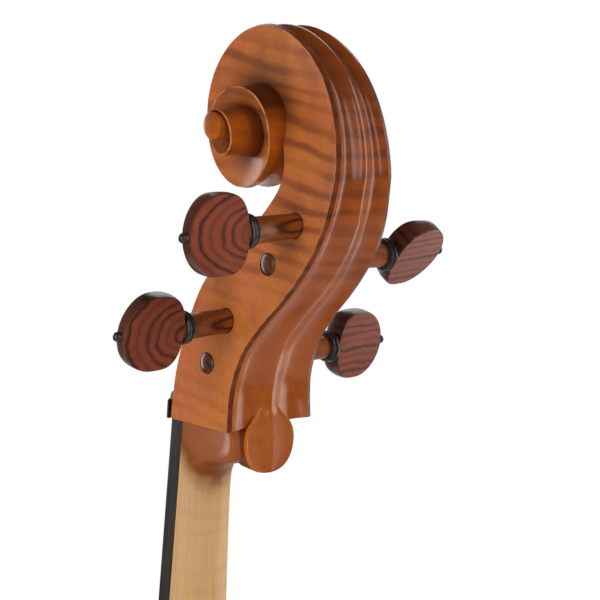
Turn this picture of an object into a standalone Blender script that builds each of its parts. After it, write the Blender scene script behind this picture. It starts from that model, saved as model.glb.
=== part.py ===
"""A full-size cello as its separate pieces: head and neck, sound box, and what carries the strings.

Metres, +Z up. The front faces -Y and the treble side is +X. The origin is inside the neck just under
the pegbox, where a wall hanger or a stand's yoke holds the instrument.
"""

import math

import bmesh
import bpy
from mathutils import Matrix, Vector
from mathutils.geometry import interpolate_bezier

MM = 0.001
GAP = 0.3 * MM

# Sound box
BODY_LENGTH = 755 * MM
RIB_DEPTH = 118 * MM
RIB_THICKNESS = 1.8 * MM
OVERHANG = 4 * MM
EDGE_THICKNESS = 4.5 * MM
FRONT_RISE = 22 * MM
BACK_RISE = 21 * MM
EDGE_FLAT = 9 * MM
LINING_THICKNESS = 2.2 * MM
LINING_DEPTH = 14 * MM
BLOCK_DEPTH = 24 * MM
BLOCK_HALF_WIDTH = 40 * MM
CORNER_BLOCK_REACH = 36 * MM
CORNER_TRIM = 4 * MM
INNER = OVERHANG + RIB_THICKNESS + GAP
CENTRE_BAND = 1 * MM
LINING_CORNER_CUT = 20 * MM
LINING_END = 10 * MM
NECK_ROOM = 30 * MM
POST_ROOM = 0.8 * MM
POST_RADIUS = 5.5 * MM
POST_PLACE = Vector((34 * MM, 338 * MM))
BAR_ROOM = 1.2 * MM
BAR_MIDDLE = -29 * MM
BAR_HALF = 5.5 * MM
BAR_ENDS = (95 * MM, 675 * MM)
BAR_DEPTHS = (6 * MM, 25 * MM)
ARCH_END_SHARE = 0.42
ARCH_END_POWER = 1.3
PLATE_STEPS = 6
PLATE_COLUMNS = 8
RIB_STEPS = 5
BUTTON_RADIUS = 12 * MM
BUTTON_HEIGHT = 10 * MM
BUTTON_ROOT = 30 * MM

# Half outline of the front and back in mm, x across and z up from the lower end: knot, two handles, knot
LOWER_BOUT = [
    ((0, 0), (120, 0), (220, 58), (220, 150)),
    ((220, 150), (220, 215), (176, 262), (194, 284)),
]
WAIST = [
    ((189, 293), (146, 297), (115, 340), (115, 408)),
    ((115, 408), (115, 462), (132, 494), (157, 498)),
]
UPPER_BOUT = [
    ((161, 507), (147, 530), (172, 572), (172, 618)),
    ((172, 618), (172, 705), (95, 755), (0, 755)),
]
# Half width of the arched part at heights up the body, in mm, with the corners left flat
ARCH_HALF_WIDTH = [
    (0, 60), (60, 178), (150, 207), (240, 186), (330, 128), (408, 104),
    (470, 116), (550, 148), (618, 159), (690, 138), (755, 60),
]

# Sound holes in mm: centre line from the upper eye to the lower eye with half widths, and the eyes
SOUND_HOLE_LINE = [
    ((56, 410), 2.0), ((57, 424), 2.0), ((64, 431), 2.6), ((71, 421), 3.4), ((73, 395), 4.2),
    ((75, 357), 4.4),
    ((77, 320), 4.2), ((80, 298), 3.4), ((86, 288), 2.6), ((92, 294), 2.0), ((92.5, 306), 2.0),
]
UPPER_EYE = ((55, 409), 8.0)
LOWER_EYE = ((94, 305), 10.5)
# Depths in front of and behind the front's edge that cutters through it reach
THROUGH_FRONT = (-40 * MM, 5 * MM)

# Neck, fingerboard and nut; neck places have y to the back from just in front of the neck's glue face
# and z up
NECK_ANGLE = math.radians(9.8)
OVERSTAND = 21 * MM
NUT_PLACE = 7 * MM
NECK_LENGTH = 280 * MM
NECK_SPARE = 3 * MM
FINGERBOARD_LENGTH = 580 * MM
FINGERBOARD_HALF = (16.2 * MM, 31.5 * MM)
FINGERBOARD_SIDE = 7.6 * MM
FINGERBOARD_SINK = 1.6 * MM
FINGERBOARD_RADIUS = 65 * MM
NUT_LENGTH = 10.4 * MM
NUT_BACK = NUT_PLACE + NUT_LENGTH
NUT_HALF = 27.6 * MM
NUT_SINK = 3.1 * MM
# Half outline of the nut: share of its half width, and height in front of the neck's origin in mm
NUT_PROFILE = [(1.0, -2.0), (0.86, 1.0), (0.68, 6.8), (0.55, 9.6), (0.28, 10.6), (0.0, 10.8)]
HANGER_PLACE = Vector((0, 8 * MM, -22 * MM))
# Depth of the neck's back at places down from the nut, in mm
NECK_DEPTH = [
    (-278, 25), (-200, 20), (-120, 16.2), (-60, 14), (-42, 13.8), (-30, 14.6), (-25, 16.6), (-21, 20.3),
    (-18, 25), (-15.5, 31), (-13, 38), (-10, 44), (-6, 47), (4, 47.8), (14, 48),
]
# How round the neck's back is, and how far its sides swell under the pegbox, in mm
NECK_ROUNDING = [(-60, 1.0), (-28, 0.95), (-19, 0.75), (-13, 0.5), (-7, 0.3), (6, 0.22), (14, 0.2)]
NECK_SWELL = [(-28, 0), (-18, 1), (-12, 4), (-7, 9), (0, 13), (14, 13)]
NECK_SECTIONS = [14, 4, -6, -10, -13, -15.5, -18, -21, -25, -30, -42, -60, -110, -160, -210, -250, -278]
HEEL_SINK = 10 * MM
HEEL_ROOM_ABOVE = 80 * MM
# Half width, depth and length of what is cleared away in front of the neck, and its lap on the nut's seat
NECK_CLEARING = (80 * MM, 120 * MM, 400 * MM)
NUT_SEAT_LAP = 2 * MM
# Top of the heel above the body's upper edge at depths behind the ribs' front, in mm, and its half width
HEEL_TOP = [(-24, 62), (-4, 42), (14, 30), (40, 22.5), (75, 19.5), (118, 18.5)]
HEEL_HALF = [(-24, 22.8), (40, 17.5), (118, 11.6)]
HEEL_DEPTHS = [-24, -14, -4, 5, 14, 26, 40, 58, 75, 97, (RIB_DEPTH - GAP) / MM]
HEEL_SHOULDER = 0.55

# Scroll seen from the side: polar angle from the back in degrees, radius, half width, and half width
# at the foot of the next turn's wall, in mm
EYE_CENTRE = (40.0, 164.5)
SPIRAL = [
    (-45, (79.0, 22.2, 16.5)), (0, (62.0, 17.2, 12.8)), (45, (52.9, 14.6, 11.4)),
    (90, (48.0, 13.2, 10.6)), (135, (41.2, 12.8, 10.4)), (180, (36.5, 12.9, 10.6)),
    (225, (34.0, 14.6, 11.6)), (270, (30.6, 17.6, 13.0)), (315, (25.8, 20.8, 14.6)),
    (360, (22.8, 23.8, 16.2)), (450, (18.8, 26.8, 18.6)), (540, (15.6, 29.4, 20.6)),
    (630, (13.0, 32.4, 23.0)), (720, (10.4, 35.4, 27.5)), (810, (7.8, 37.8, 34.5)),
    (855, (6.4, 38.6, 38.6)),
]
SPIRAL_START = -30
SPIRAL_END = 855
SPIRAL_STEP = 15
FULL_TURN = 360
# Pegbox cheeks from the nut up to where the scroll starts: edge place in mm and half width there
FRONT_EDGE = [
    (0.00, (6.2, 8.2, 28.2)), (0.10, (6.6, 21, 27.8)), (0.22, (7.6, 36, 27.0)),
    (0.36, (12.2, 58, 25.8)), (0.50, (21.5, 83, 24.0)), (0.64, (38.5, 103, 22.6)),
    (0.78, (57, 121, 21.2)), (0.87, (66.3, 133.6, 19.8)), (0.92, (68.8, 139.5, 18.8)),
    (0.96, (67.8, 145.5, 17.6)), (1.00, (61.5, 152.1, 15.2)),
]
BACK_EDGE = [
    (0.00, (51.8, 12.8, 28.6)), (0.10, (50.8, 25, 28.0)), (0.22, (51.6, 38, 27.2)),
    (0.36, (57.2, 55.5, 26.2)), (0.50, (68.5, 71.5, 24.9)), (0.64, (80, 85, 23.9)),
    (0.78, (90, 98.6, 22.9)), (0.87, (95.6, 108.2, 22.2)), (0.92, (98.7, 115, 21.6)),
    (0.96, (100.9, 121.5, 21.1)), (1.00, (102.6, 128.3, 20.6)),
]
PEGBOX_ROWS = [0.0, 0.1, 0.2, 0.3, 0.4, 0.5, 0.6, 0.7, 0.8, 0.87, 0.92, 0.96]
CHEEK_STEPS = 3
CHEEK_DISH = 0.8
CHAMFER_WIDTH = 2.6 * MM
CHAMFER_RISE = 1.5 * MM
FLUTE_DEPTH = 2.6 * MM
FLUTE_LEAN = 0.85
FLUTE_COLUMNS = [0.0, 0.22, 0.5, 0.8, 1.0]
FLUTE_FADE = (225, 315)
CHIN_HALF = 17 * MM
CHIN_NARROWING = 0.75
CHIN_DROP = 1.05 * CHIN_HALF
CHIN_TOP = 26 * MM
CHIN_BOTTOM = -12 * MM
CHIN_FRONT = 30 * MM
CHIN_BACK = 53.5 * MM
CHIN_SLOPE = 0.1
# Hollow of the pegbox seen from the side, in mm, and its half width at two heights
HOLLOW = [
    (-6, 20), (38, 24), (41.5, 38), (47.6, 55), (59.6, 71), (70, 86), (81, 98.5), (91.8, 112.5),
    (97.4, 124.5), (92, 133), (80, 136), (68, 131), (54, 126), (32, 112), (14, 94), (2, 66), (-6, 40),
]
HOLLOW_HALF = ((20, 19.2), (130, 12.8))

# Pegs: side of the head, seat (y, z) on the middle plane in mm, lean to the back, turn of the head in
# degrees
PEGS = {
    "c": (-1, (32.3, 43.6), 0.040, 4),
    "a": (1, (40.6, 67.8), 0.045, -6),
    "g": (-1, (68.4, 100.8), 0.050, 32),
    "d": (1, (79.8, 121.9), 0.100, 4),
}
PEG_COLLAR = (50.8 * MM, 56.3 * MM)
PEG_HEAD_END = 89.6 * MM
PEG_SHAFT_THICK = 6.4 * MM
PEG_TAPER = 1.0 / 60
PEG_TIP_PROUD = 1.6 * MM
PEG_TIP_DOME = 1.2 * MM
PEG_HEAD_RADIUS = 19.0 * MM
# Half thickness of the head at the collar and at its far end
PEG_HEAD_HALF_THICKNESS = (6.2 * MM, 2.6 * MM)
PEG_HEAD_ROUNDING = 0.9
PEG_FLAT_CUT = 30 * MM
PEG_FLAT_SPARE = 2 * MM
PEG_COLLAR_RADIUS = 8.6 * MM
PEG_COLLAR_GROOVE = 1.2 * MM
PEG_COLLAR_RINGS = 3
PEG_PIP_RADIUS = 2.4 * MM
PEG_CLEARANCE = 0.35 * MM
PEG_HOLE_REACH = 45 * MM

# Strings from bass to treble: peg, radius, place across at the nut, bridge and tailpiece
STRINGS = {
    "c": (0.85 * MM, -11.6 * MM, -24.0 * MM, -20.4 * MM),
    "g": (0.70 * MM, -3.9 * MM, -8.2 * MM, -6.8 * MM),
    "d": (0.55 * MM, 3.9 * MM, 8.2 * MM, 6.8 * MM),
    "a": (0.45 * MM, 11.6 * MM, 24.0 * MM, 20.4 * MM),
}
# Last two points of a string: place on the tailpiece and room above its crown
STRING_END = [(-2 * MM, 1.5 * MM), (-9.5 * MM, 1.0 * MM)]
WINDING_LOOPS = 3
WINDING_POINTS = 16
WINDING_GAP = 0.55 * MM
WRAP_TURN = 0.7
# Place across of the fixed wrap of each string on its peg; the winding lies outward of it
WRAP_PLACE = {"c": -6.6 * MM, "g": -3.6 * MM, "d": 4.2 * MM, "a": 8.6 * MM}

# Bridge, tailpiece, saddle
BRIDGE_PLACE = 355 * MM
BRIDGE_TOP = 118.2 * MM
BRIDGE_CURVE = 62 * MM
BRIDGE_THICKNESS = (11 * MM, 3 * MM)
# Half outline of the bridge in mm, x across and height above the front's crown
BRIDGE_OUTLINE = [
    (46, -12), (46, -3), (42, 3), (33, 8), (35, 20), (44, 27), (45, 33), (38, 36), (35, 44),
    (42, 52), (41, 60), (35, 66), (31, 84),
]
BRIDGE_ARCH = [(0, 36), (8, 34.5), (15, 29), (18, 20), (17, 8), (19, -1), (19, -12)]
BRIDGE_TOP_PLACES = [29 * MM, 20 * MM, 10 * MM]
# Holes through the bridge: place as above and radius in mm
BRIDGE_HOLES = {"heart": ((0, 56), 9.0), "bass": ((-24, 48), 6.5), "treble": ((24, 48), 6.5)}
# Half width and half height of the stretch of the front that the bridge's feet are cut to
BRIDGE_SEAT = (55 * MM, 12 * MM)
BRIDGE_DEEP = 20 * MM
AFTERLENGTH = 115 * MM
TAILPIECE_LENGTH = 232 * MM
TAILPIECE_DROP = 9 * MM
# Half width and crown of the tailpiece at places below its upper end, in mm
TAILPIECE_HALF = [
    (-232, 11), (-226, 13), (-205, 14.6), (-160, 17), (-120, 20), (-80, 23.6), (-40, 27.6),
    (-8, 31), (0, 28),
]
TAILPIECE_CROWN = [(-232, 5.5), (-60, 8), (0, 9.5)]
TAILPIECE_SIDE = 4.5 * MM
SADDLE_HALF = 19 * MM
SADDLE_TOP = 13 * MM
SADDLE_LENGTH = 8 * MM
SADDLE_PROUD = 0.4 * MM
TAIL_CORD_RADIUS = 1.5 * MM
TAIL_CORD_SPREAD = 5.5 * MM
TAIL_CORD_SINK = 8 * MM
TAIL_CORD_LEVEL = -3.2 * MM
TAIL_CORD_ARC = (math.radians(-25), math.radians(205))

# Fine tuners in the tailpiece, distances down from its upper end
TUNER_SLOT = (10 * MM, 24 * MM)
TUNER_SLOT_HALF = 1.9 * MM
TUNER_LEVER_HALF = 1.4 * MM
TUNER_SCREW_PLACE = 33 * MM
TUNER_HEAD_RADIUS = 3.9 * MM
TUNER_PIVOT_PLACE = 17 * MM
TUNER_PIVOT_DEPTH = 3.5 * MM
TUNER_CUT = 30 * MM
TUNER_SHANK_RADIUS = 1.5 * MM
TUNER_HEAD_HEIGHT = 8 * MM
TUNER_HEAD_EDGE = 0.6 * MM
TUNER_HEAD_ROOM = 0.8 * MM
TUNER_SCREW_PROUD = 0.7 * MM
# Lever seen from the side in mm, places down the tailpiece and heights from its pivot
TUNER_LEVER_TAIL = [(2.4, 2), (5, -2), (22, -2.4), (22, -5), (0, -4.6), (-3, -2)]
TUNER_HOOK_REACH = (-3 * MM, -6.2 * MM, 0.5 * MM)
TUNER_HOOK_ROOM = 1.0 * MM
TUNER_HOOK_HEIGHT = 3.5 * MM

# Endpin
ENDPIN_DEPTH = 59 * MM
ENDPIN_ROD_RADIUS = 5 * MM
ENDPIN_ROD_TOP = 440 * MM
ENDPIN_ROD_BOTTOM = -58 * MM
ENDPIN_TIP_BOTTOM = -74 * MM
ENDPIN_COLLAR_RADIUS = 14 * MM
ENDPIN_SHANK_RADIUS = 11.5 * MM
ENDPIN_SHANK_TOP = 46 * MM
ENDPIN_FLANGE = 3 * MM
ENDPIN_NECK_RADIUS = 9.5 * MM
ENDPIN_PLUG_BOTTOM = -25 * MM
ENDPIN_ROOM_ENDS = (-5 * MM, 60 * MM)
THUMBSCREW_PLACE = -18 * MM
THUMBSCREW_HOLE = 2.4 * MM
# Turned profile of the thumbscrew in mm, radius and distance from the endpin's axis, without its tip
THUMBSCREW_PROFILE = [
    (0, 28), (5.5, 28), (6.5, 27), (6.5, 20), (5.5, 19), (3.2, 18), (2.0, 12),
]
# Turned outside of the rubber tip in mm, radius and height above its foot
TIP_PROFILE = [(6.8, 28), (8.6, 25), (9.4, 12), (8.6, 4), (6, 0), (0, 0)]

COLOURS = {
    "varnished_maple": ((0.36, 0.13, 0.035), 0.32, 0.0),
    "varnished_spruce": ((0.42, 0.17, 0.045), 0.34, 0.0),
    "bare_spruce": ((0.62, 0.44, 0.25), 0.7, 0.0),
    "ebony": ((0.018, 0.016, 0.016), 0.38, 0.0),
    "rosewood": ((0.17, 0.045, 0.02), 0.3, 0.0),
    "bridge_maple": ((0.60, 0.40, 0.20), 0.55, 0.0),
    "string_steel": ((0.55, 0.55, 0.56), 0.3, 1.0),
    "bright_steel": ((0.62, 0.62, 0.63), 0.22, 1.0),
    "cord": ((0.03, 0.03, 0.03), 0.6, 0.0),
    "rubber": ((0.02, 0.02, 0.02), 0.8, 0.0),
}


# Scene and object helpers

def clear_scene():
    for old in list(bpy.data.objects):
        bpy.data.objects.remove(old, do_unlink=True)


def make_collection(name):
    found = bpy.data.collections.new(name)
    bpy.context.scene.collection.children.link(found)
    return found


def make_materials():
    made = {}
    for name, (colour, roughness, metallic) in COLOURS.items():
        material = bpy.data.materials.new(name)
        material.use_nodes = True
        shader = material.node_tree.nodes["Principled BSDF"]
        shader.inputs["Base Color"].default_value = (*colour, 1)
        shader.inputs["Roughness"].default_value = roughness
        shader.inputs["Metallic"].default_value = metallic
        made[name] = material
    return made


def make_empty(name, parent=None, location=(0, 0, 0), rotation=(0, 0, 0)):
    empty = bpy.data.objects.new(name, None)
    PARTS.objects.link(empty)
    empty.parent = parent
    empty.location = location
    empty.rotation_euler = rotation
    return empty


def add_object(name, mesh, finish, parent, location=(0, 0, 0), rotation=(0, 0, 0)):
    made = bpy.data.objects.new(name, mesh)
    PARTS.objects.link(made)
    made.parent = parent
    made.location = location
    made.rotation_euler = rotation
    mesh.materials.append(MATERIALS[finish])
    return made


def as_cutter(made):
    PARTS.objects.unlink(made)
    CUTTERS.objects.link(made)
    made.hide_render = True
    made.display_type = "WIRE"
    return made


def add_cutter(name, mesh, parent, location=(0, 0, 0), rotation=(0, 0, 0)):
    return as_cutter(add_object(name, mesh, "bare_spruce", parent, location, rotation))


def boolean(made, other, operation="DIFFERENCE"):
    step = made.modifiers.new(other.name, "BOOLEAN")
    step.operation = operation
    step.solver = "EXACT"
    step.object = other


def mesh_of(bm, name, smooth_angle=35):
    bmesh.ops.remove_doubles(bm, verts=bm.verts, dist=1e-6)
    bmesh.ops.dissolve_degenerate(bm, dist=1e-6, edges=bm.edges)
    bmesh.ops.recalc_face_normals(bm, faces=bm.faces)
    mesh = bpy.data.meshes.new(name)
    bm.to_mesh(mesh)
    bm.free()
    mesh.shade_smooth()
    mesh.set_sharp_from_angle(angle=math.radians(smooth_angle))
    return mesh


# Curves and solids

def along(keys, place):
    """Value at a place on the smooth curve through (place, value) keys; a value is a number or a tuple."""
    places = [key[0] for key in keys]
    values = [Vector(key[1]) if isinstance(key[1], tuple) else key[1] for key in keys]
    if place <= places[0]:
        return values[0]
    if place >= places[-1]:
        return values[-1]
    last = len(keys) - 1

    def slope(k):
        low, high = max(k - 1, 0), min(k + 1, last)
        return (values[high] - values[low]) / (places[high] - places[low])

    k = next(i for i in range(last) if place <= places[i + 1])
    span = places[k + 1] - places[k]
    t = (place - places[k]) / span
    rise = 3 * t * t - 2 * t * t * t
    start = values[k] * (1 - rise) + values[k + 1] * rise
    return start + (slope(k) * (t * (1 - t) ** 2) - slope(k + 1) * (t * t * (1 - t))) * span


def loft(name, sections, ring=False):
    """A closed solid skinned over loops of equal length, capped unless the last loop meets the first."""
    bm = bmesh.new()
    rows = [[bm.verts.new(point) for point in section] for section in sections]
    pairs = list(zip(rows, rows[1:]))
    if ring:
        pairs.append((rows[-1], rows[0]))
    for low, high in pairs:
        for j in range(len(low)):
            k = (j + 1) % len(low)
            bm.faces.new((low[j], low[k], high[k], high[j]))
    if not ring:
        bm.faces.new(rows[0])
        bm.faces.new(rows[-1])
    return mesh_of(bm, name)


def mapped_grid(bm, rows, columns, place):
    """A grid of faces whose corner at (row, column) is moved to place(row, column)."""
    corners = bmesh.ops.create_grid(bm, x_segments=columns, y_segments=rows, size=0.5)["verts"]
    for corner in corners:
        row = round((corner.co.y + 0.5) * rows)
        column = round((corner.co.x + 0.5) * columns)
        corner.co = place(row, column)


def close_holes(bm):
    bmesh.ops.remove_doubles(bm, verts=bm.verts, dist=1e-6)
    bmesh.ops.holes_fill(bm, edges=[edge for edge in bm.edges if edge.is_boundary], sides=0)


def prism(name, outline, low, high, place):
    """A flat outline pushed from low to high; place puts (u, v, height) where it belongs."""
    return loft(name, [[place(u, v, height) for u, v in outline] for height in (low, high)])


def box(name, low, high):
    bm = bmesh.new()
    bmesh.ops.create_cube(bm, size=1)
    size = [b - a for a, b in zip(low, high)]
    middle = [(a + b) / 2 for a, b in zip(low, high)]
    bmesh.ops.scale(bm, verts=bm.verts, vec=size)
    bmesh.ops.translate(bm, verts=bm.verts, vec=middle)
    return mesh_of(bm, name)


def cone(name, radius_low, radius_high, low, high, sides=24):
    bm = bmesh.new()
    bmesh.ops.create_cone(
        bm, cap_ends=True, segments=sides, radius1=radius_low, radius2=radius_high, depth=high - low
    )
    bmesh.ops.translate(bm, verts=bm.verts, vec=(0, 0, (low + high) / 2))
    return mesh_of(bm, name)


def turned(name, profile, finish, parent, location=(0, 0, 0), rotation=(0, 0, 0), steps=24, ring=False):
    """A turned piece: a profile of (radius, height) from top to bottom, swept about local Z."""
    mesh = bpy.data.meshes.new(name)
    count = len(profile)
    edges = [(k, k + 1) for k in range(count - 1)]
    if ring:
        edges.append((count - 1, 0))
    mesh.from_pydata([(radius, 0, height) for radius, height in profile], edges, [])
    made = add_object(name, mesh, finish, parent, location, rotation)
    screw = made.modifiers.new("turn", "SCREW")
    screw.axis = "Z"
    screw.steps = steps
    screw.render_steps = steps
    screw.use_merge_vertices = True
    screw.merge_threshold = 1e-6
    screw.use_smooth_shade = True
    return made


def tube(name, points, radius, finish, parent, resolution=2):
    """A round wire along points, with closed ends."""
    curve = bpy.data.curves.new(name, "CURVE")
    curve.dimensions = "3D"
    curve.bevel_depth = radius
    curve.bevel_resolution = resolution
    curve.use_fill_caps = True
    spline = curve.splines.new("POLY")
    spline.points.add(len(points) - 1)
    for corner, point in zip(spline.points, points):
        corner.co = (*point, 1)
    curve.materials.append(MATERIALS[finish])
    made = bpy.data.objects.new(name, curve)
    PARTS.objects.link(made)
    made.parent = parent
    return made


# Sound box outline and arching

def curve_points(segments, steps):
    """Points in metres along joined curve segments given in mm."""
    points = []
    for segment in segments:
        corners = [Vector((x, z, 0)) * MM for x, z in segment]
        run = interpolate_bezier(*corners, steps + 1)
        points += [point.to_2d() for point in (run[1:] if points else run)]
    return points


def half_outline(steps):
    return curve_points(LOWER_BOUT, steps) + curve_points(WAIST, steps) + curve_points(UPPER_BOUT, steps)


def inset(points, distance):
    """The line moved to the left of its travel, which is into the body on the treble side."""
    moved = []
    for k, point in enumerate(points):
        travel = points[min(k + 1, len(points) - 1)] - points[max(k - 1, 0)]
        if abs(point.x) < CENTRE_BAND:
            travel = Vector((1 if point.y < BODY_LENGTH / 2 else -1, 0))
        moved.append(point + Vector((-travel.y, travel.x)).normalized() * distance)
    return moved


def trimmed(points, start, end):
    """The line with a length cut off at its start and its end."""
    lengths = [0.0]
    for a, b in zip(points, points[1:]):
        lengths.append(lengths[-1] + (b - a).length)

    def at(place):
        k = next(i for i in range(len(points) - 1) if place <= lengths[i + 1] + 1e-12)
        return points[k].lerp(points[k + 1], (place - lengths[k]) / (lengths[k + 1] - lengths[k]))

    total = lengths[-1]
    kept = [point for point, place in zip(points, lengths) if start < place < total - end]
    return [at(start)] + kept + [at(total - end)]


def length_of(points):
    return sum((b - a).length for a, b in zip(points, points[1:]))


def on_side(points, side):
    return [Vector((point.x * side, point.y)) for point in points]


def arch(x, z, rise):
    """Height of the arching above the flat edge."""
    end_distance = min(z, BODY_LENGTH - z) - EDGE_FLAT
    long_share = min(max(end_distance / (BODY_LENGTH * ARCH_END_SHARE), 0), 1)
    long_rise = math.sin(long_share * math.pi / 2) ** ARCH_END_POWER
    across = min(abs(x) / (along(ARCH_HALF_WIDTH, z / MM) * MM), 1)
    return rise * long_rise * (1 + math.cos(across * math.pi)) / 2


def front_outside(x, z):
    return -EDGE_THICKNESS - arch(x, z, FRONT_RISE)


def front_inside(x, z):
    return -arch(x, z, FRONT_RISE)


def back_inside(x, z):
    return RIB_DEPTH + arch(x, z, BACK_RISE)


def back_outside(x, z):
    return RIB_DEPTH + EDGE_THICKNESS + arch(x, z, BACK_RISE)


def plate(name, outside, inside):
    """A carved plate: two arched faces over the outline and the edge between them."""
    outline = half_outline(PLATE_STEPS)
    rows = len(outline) - 1

    def face(surface):
        def place(row, column):
            x = outline[row].x * (2 * column / PLATE_COLUMNS - 1)
            return Vector((x, surface(x, outline[row].y), outline[row].y))
        return place

    def edge(side):
        def place(row, column):
            x = outline[row].x * side
            surface = outside if column else inside
            return Vector((x, surface(x, outline[row].y), outline[row].y))
        return place

    bm = bmesh.new()
    mapped_grid(bm, rows, PLATE_COLUMNS, face(outside))
    mapped_grid(bm, rows, PLATE_COLUMNS, face(inside))
    for side in (-1, 1):
        mapped_grid(bm, rows, 1, edge(side))
    return mesh_of(bm, name)


def level(u, v, height):
    """An outline seen from above, pushed upwards."""
    return Vector((u, v, height))


def upright(u, v, height):
    """An outline seen from the front, pushed from front to back."""
    return Vector((u, height, v))


def sound_hole_cutters(side, label):
    centre = [(Vector(point) * MM, half * MM) for point, half in SOUND_HOLE_LINE]
    left, right = [], []
    for k, (point, half) in enumerate(centre):
        before = centre[max(k - 1, 0)][0]
        after = centre[min(k + 1, len(centre) - 1)][0]
        travel = (after - before).normalized()
        aside = Vector((-travel.y, travel.x)) * half
        left.append(point + aside)
        right.append(point - aside)
    outline = [(point.x * side, point.y) for point in left + right[::-1]]
    low, high = THROUGH_FRONT
    line = prism("sound_hole_line", outline, low, high, upright)
    cutters = [add_cutter(f"sound_hole_line_{label}", line, BODY)]
    for eye, ((x, z), radius) in (("upper", UPPER_EYE), ("lower", LOWER_EYE)):
        mesh = cone("sound_hole_eye", radius * MM, radius * MM, low, high, sides=20)
        place = (x * MM * side, 0, z * MM)
        cutters.append(add_cutter(f"sound_hole_{eye}_{label}", mesh, BODY, place, (-math.pi / 2, 0, 0)))
    return cutters


def make_front():
    front = add_object("front", plate("front", front_outside, front_inside), "varnished_spruce", BODY)
    for side, label in ((-1, "bass"), (1, "treble")):
        for cutter in sound_hole_cutters(side, label):
            boolean(front, cutter)
    low, high = THROUGH_FRONT
    half = SADDLE_HALF + GAP
    saddle_room = box("saddle_room", (-half, low, -SADDLE_LENGTH), (half, high, SADDLE_LENGTH + GAP))
    boolean(front, add_cutter("saddle_room", saddle_room, BODY))
    boolean(front, HEEL_ROOM)


def make_back():
    back = add_object("back", plate("back", back_outside, back_inside), "varnished_maple", BODY)
    top = BODY_LENGTH + BUTTON_HEIGHT
    straight = [(BUTTON_RADIUS, BODY_LENGTH - BUTTON_ROOT), (BUTTON_RADIUS, top)]
    steps = 10
    angles = [math.pi * k / steps for k in range(1, steps)]
    round_end = [(BUTTON_RADIUS * math.cos(turn), top + BUTTON_RADIUS * math.sin(turn)) for turn in angles]
    outline = straight + round_end + [(-x, z) for x, z in reversed(straight)]
    low = RIB_DEPTH + GAP
    mesh = prism("button", outline, low, low + EDGE_THICKNESS - 2 * GAP, upright)
    boolean(back, add_cutter("button", mesh, BODY), "UNION")


def band(name, line, outer, inner, low, high):
    """A strip of wood that follows a line, between two insets and two depths."""
    sections = []
    for a, b in zip(inset(line, outer), inset(line, inner)):
        corners = ((a, low), (b, low), (b, high), (a, high))
        sections.append([upright(point.x, point.y, depth) for point, depth in corners])
    return loft(name, sections)


def bout_lines():
    """The outline's three bouts, cut back where the ribs meet."""
    return {
        "lower": trimmed(curve_points(LOWER_BOUT, RIB_STEPS), GAP, CORNER_TRIM),
        "centre": trimmed(curve_points(WAIST, RIB_STEPS), CORNER_TRIM, CORNER_TRIM),
        "upper": trimmed(curve_points(UPPER_BOUT, RIB_STEPS), CORNER_TRIM, NECK_ROOM),
    }


def make_ribs():
    for bout, line in bout_lines().items():
        for side, label in ((-1, "bass"), (1, "treble")):
            name = f"rib_{bout}_{label}"
            mesh = band(name, line, OVERHANG, OVERHANG + RIB_THICKNESS, GAP, RIB_DEPTH - GAP)
            mesh.transform(Matrix.Diagonal((side, 1, 1, 1)))
            if side < 0:
                mesh.flip_normals()
            rib = add_object(name, mesh, "varnished_maple", BODY)
            if bout == "lower":
                boolean(rib, ENDPIN_ROOM)


def lining_line():
    """Down the treble side inside the ribs, across the corner blocks, round the lower end and up again."""
    cut, end = LINING_CORNER_CUT, BLOCK_HALF_WIDTH + LINING_END
    lower = trimmed(curve_points(LOWER_BOUT, RIB_STEPS), 0, cut)
    centre = trimmed(curve_points(WAIST, RIB_STEPS), cut, cut)
    upper = trimmed(curve_points(UPPER_BOUT, RIB_STEPS), cut, end)
    return [inset(part, INNER) for part in (lower, centre, upper)]


def lining(name, low, high, spare=0.0):
    treble = [point for part in lining_line() for point in part]
    path = on_side(treble, -1)[::-1] + treble[1:]
    return band(name, path, -spare, LINING_THICKNESS + spare, low - 2 * spare, high + 2 * spare)


def make_linings():
    """Two strips that stiffen the joint of ribs and plates, let into the blocks."""
    cutters = []
    depths = {
        "linings_front": (GAP, LINING_DEPTH),
        "linings_back": (RIB_DEPTH - LINING_DEPTH, RIB_DEPTH - GAP),
    }
    for name, (low, high) in depths.items():
        add_object(name, lining(name, low, high), "bare_spruce", BODY)
        cutters.append(add_cutter(f"{name}_room", lining(f"{name}_room", low, high, GAP), BODY))
    return cutters


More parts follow.
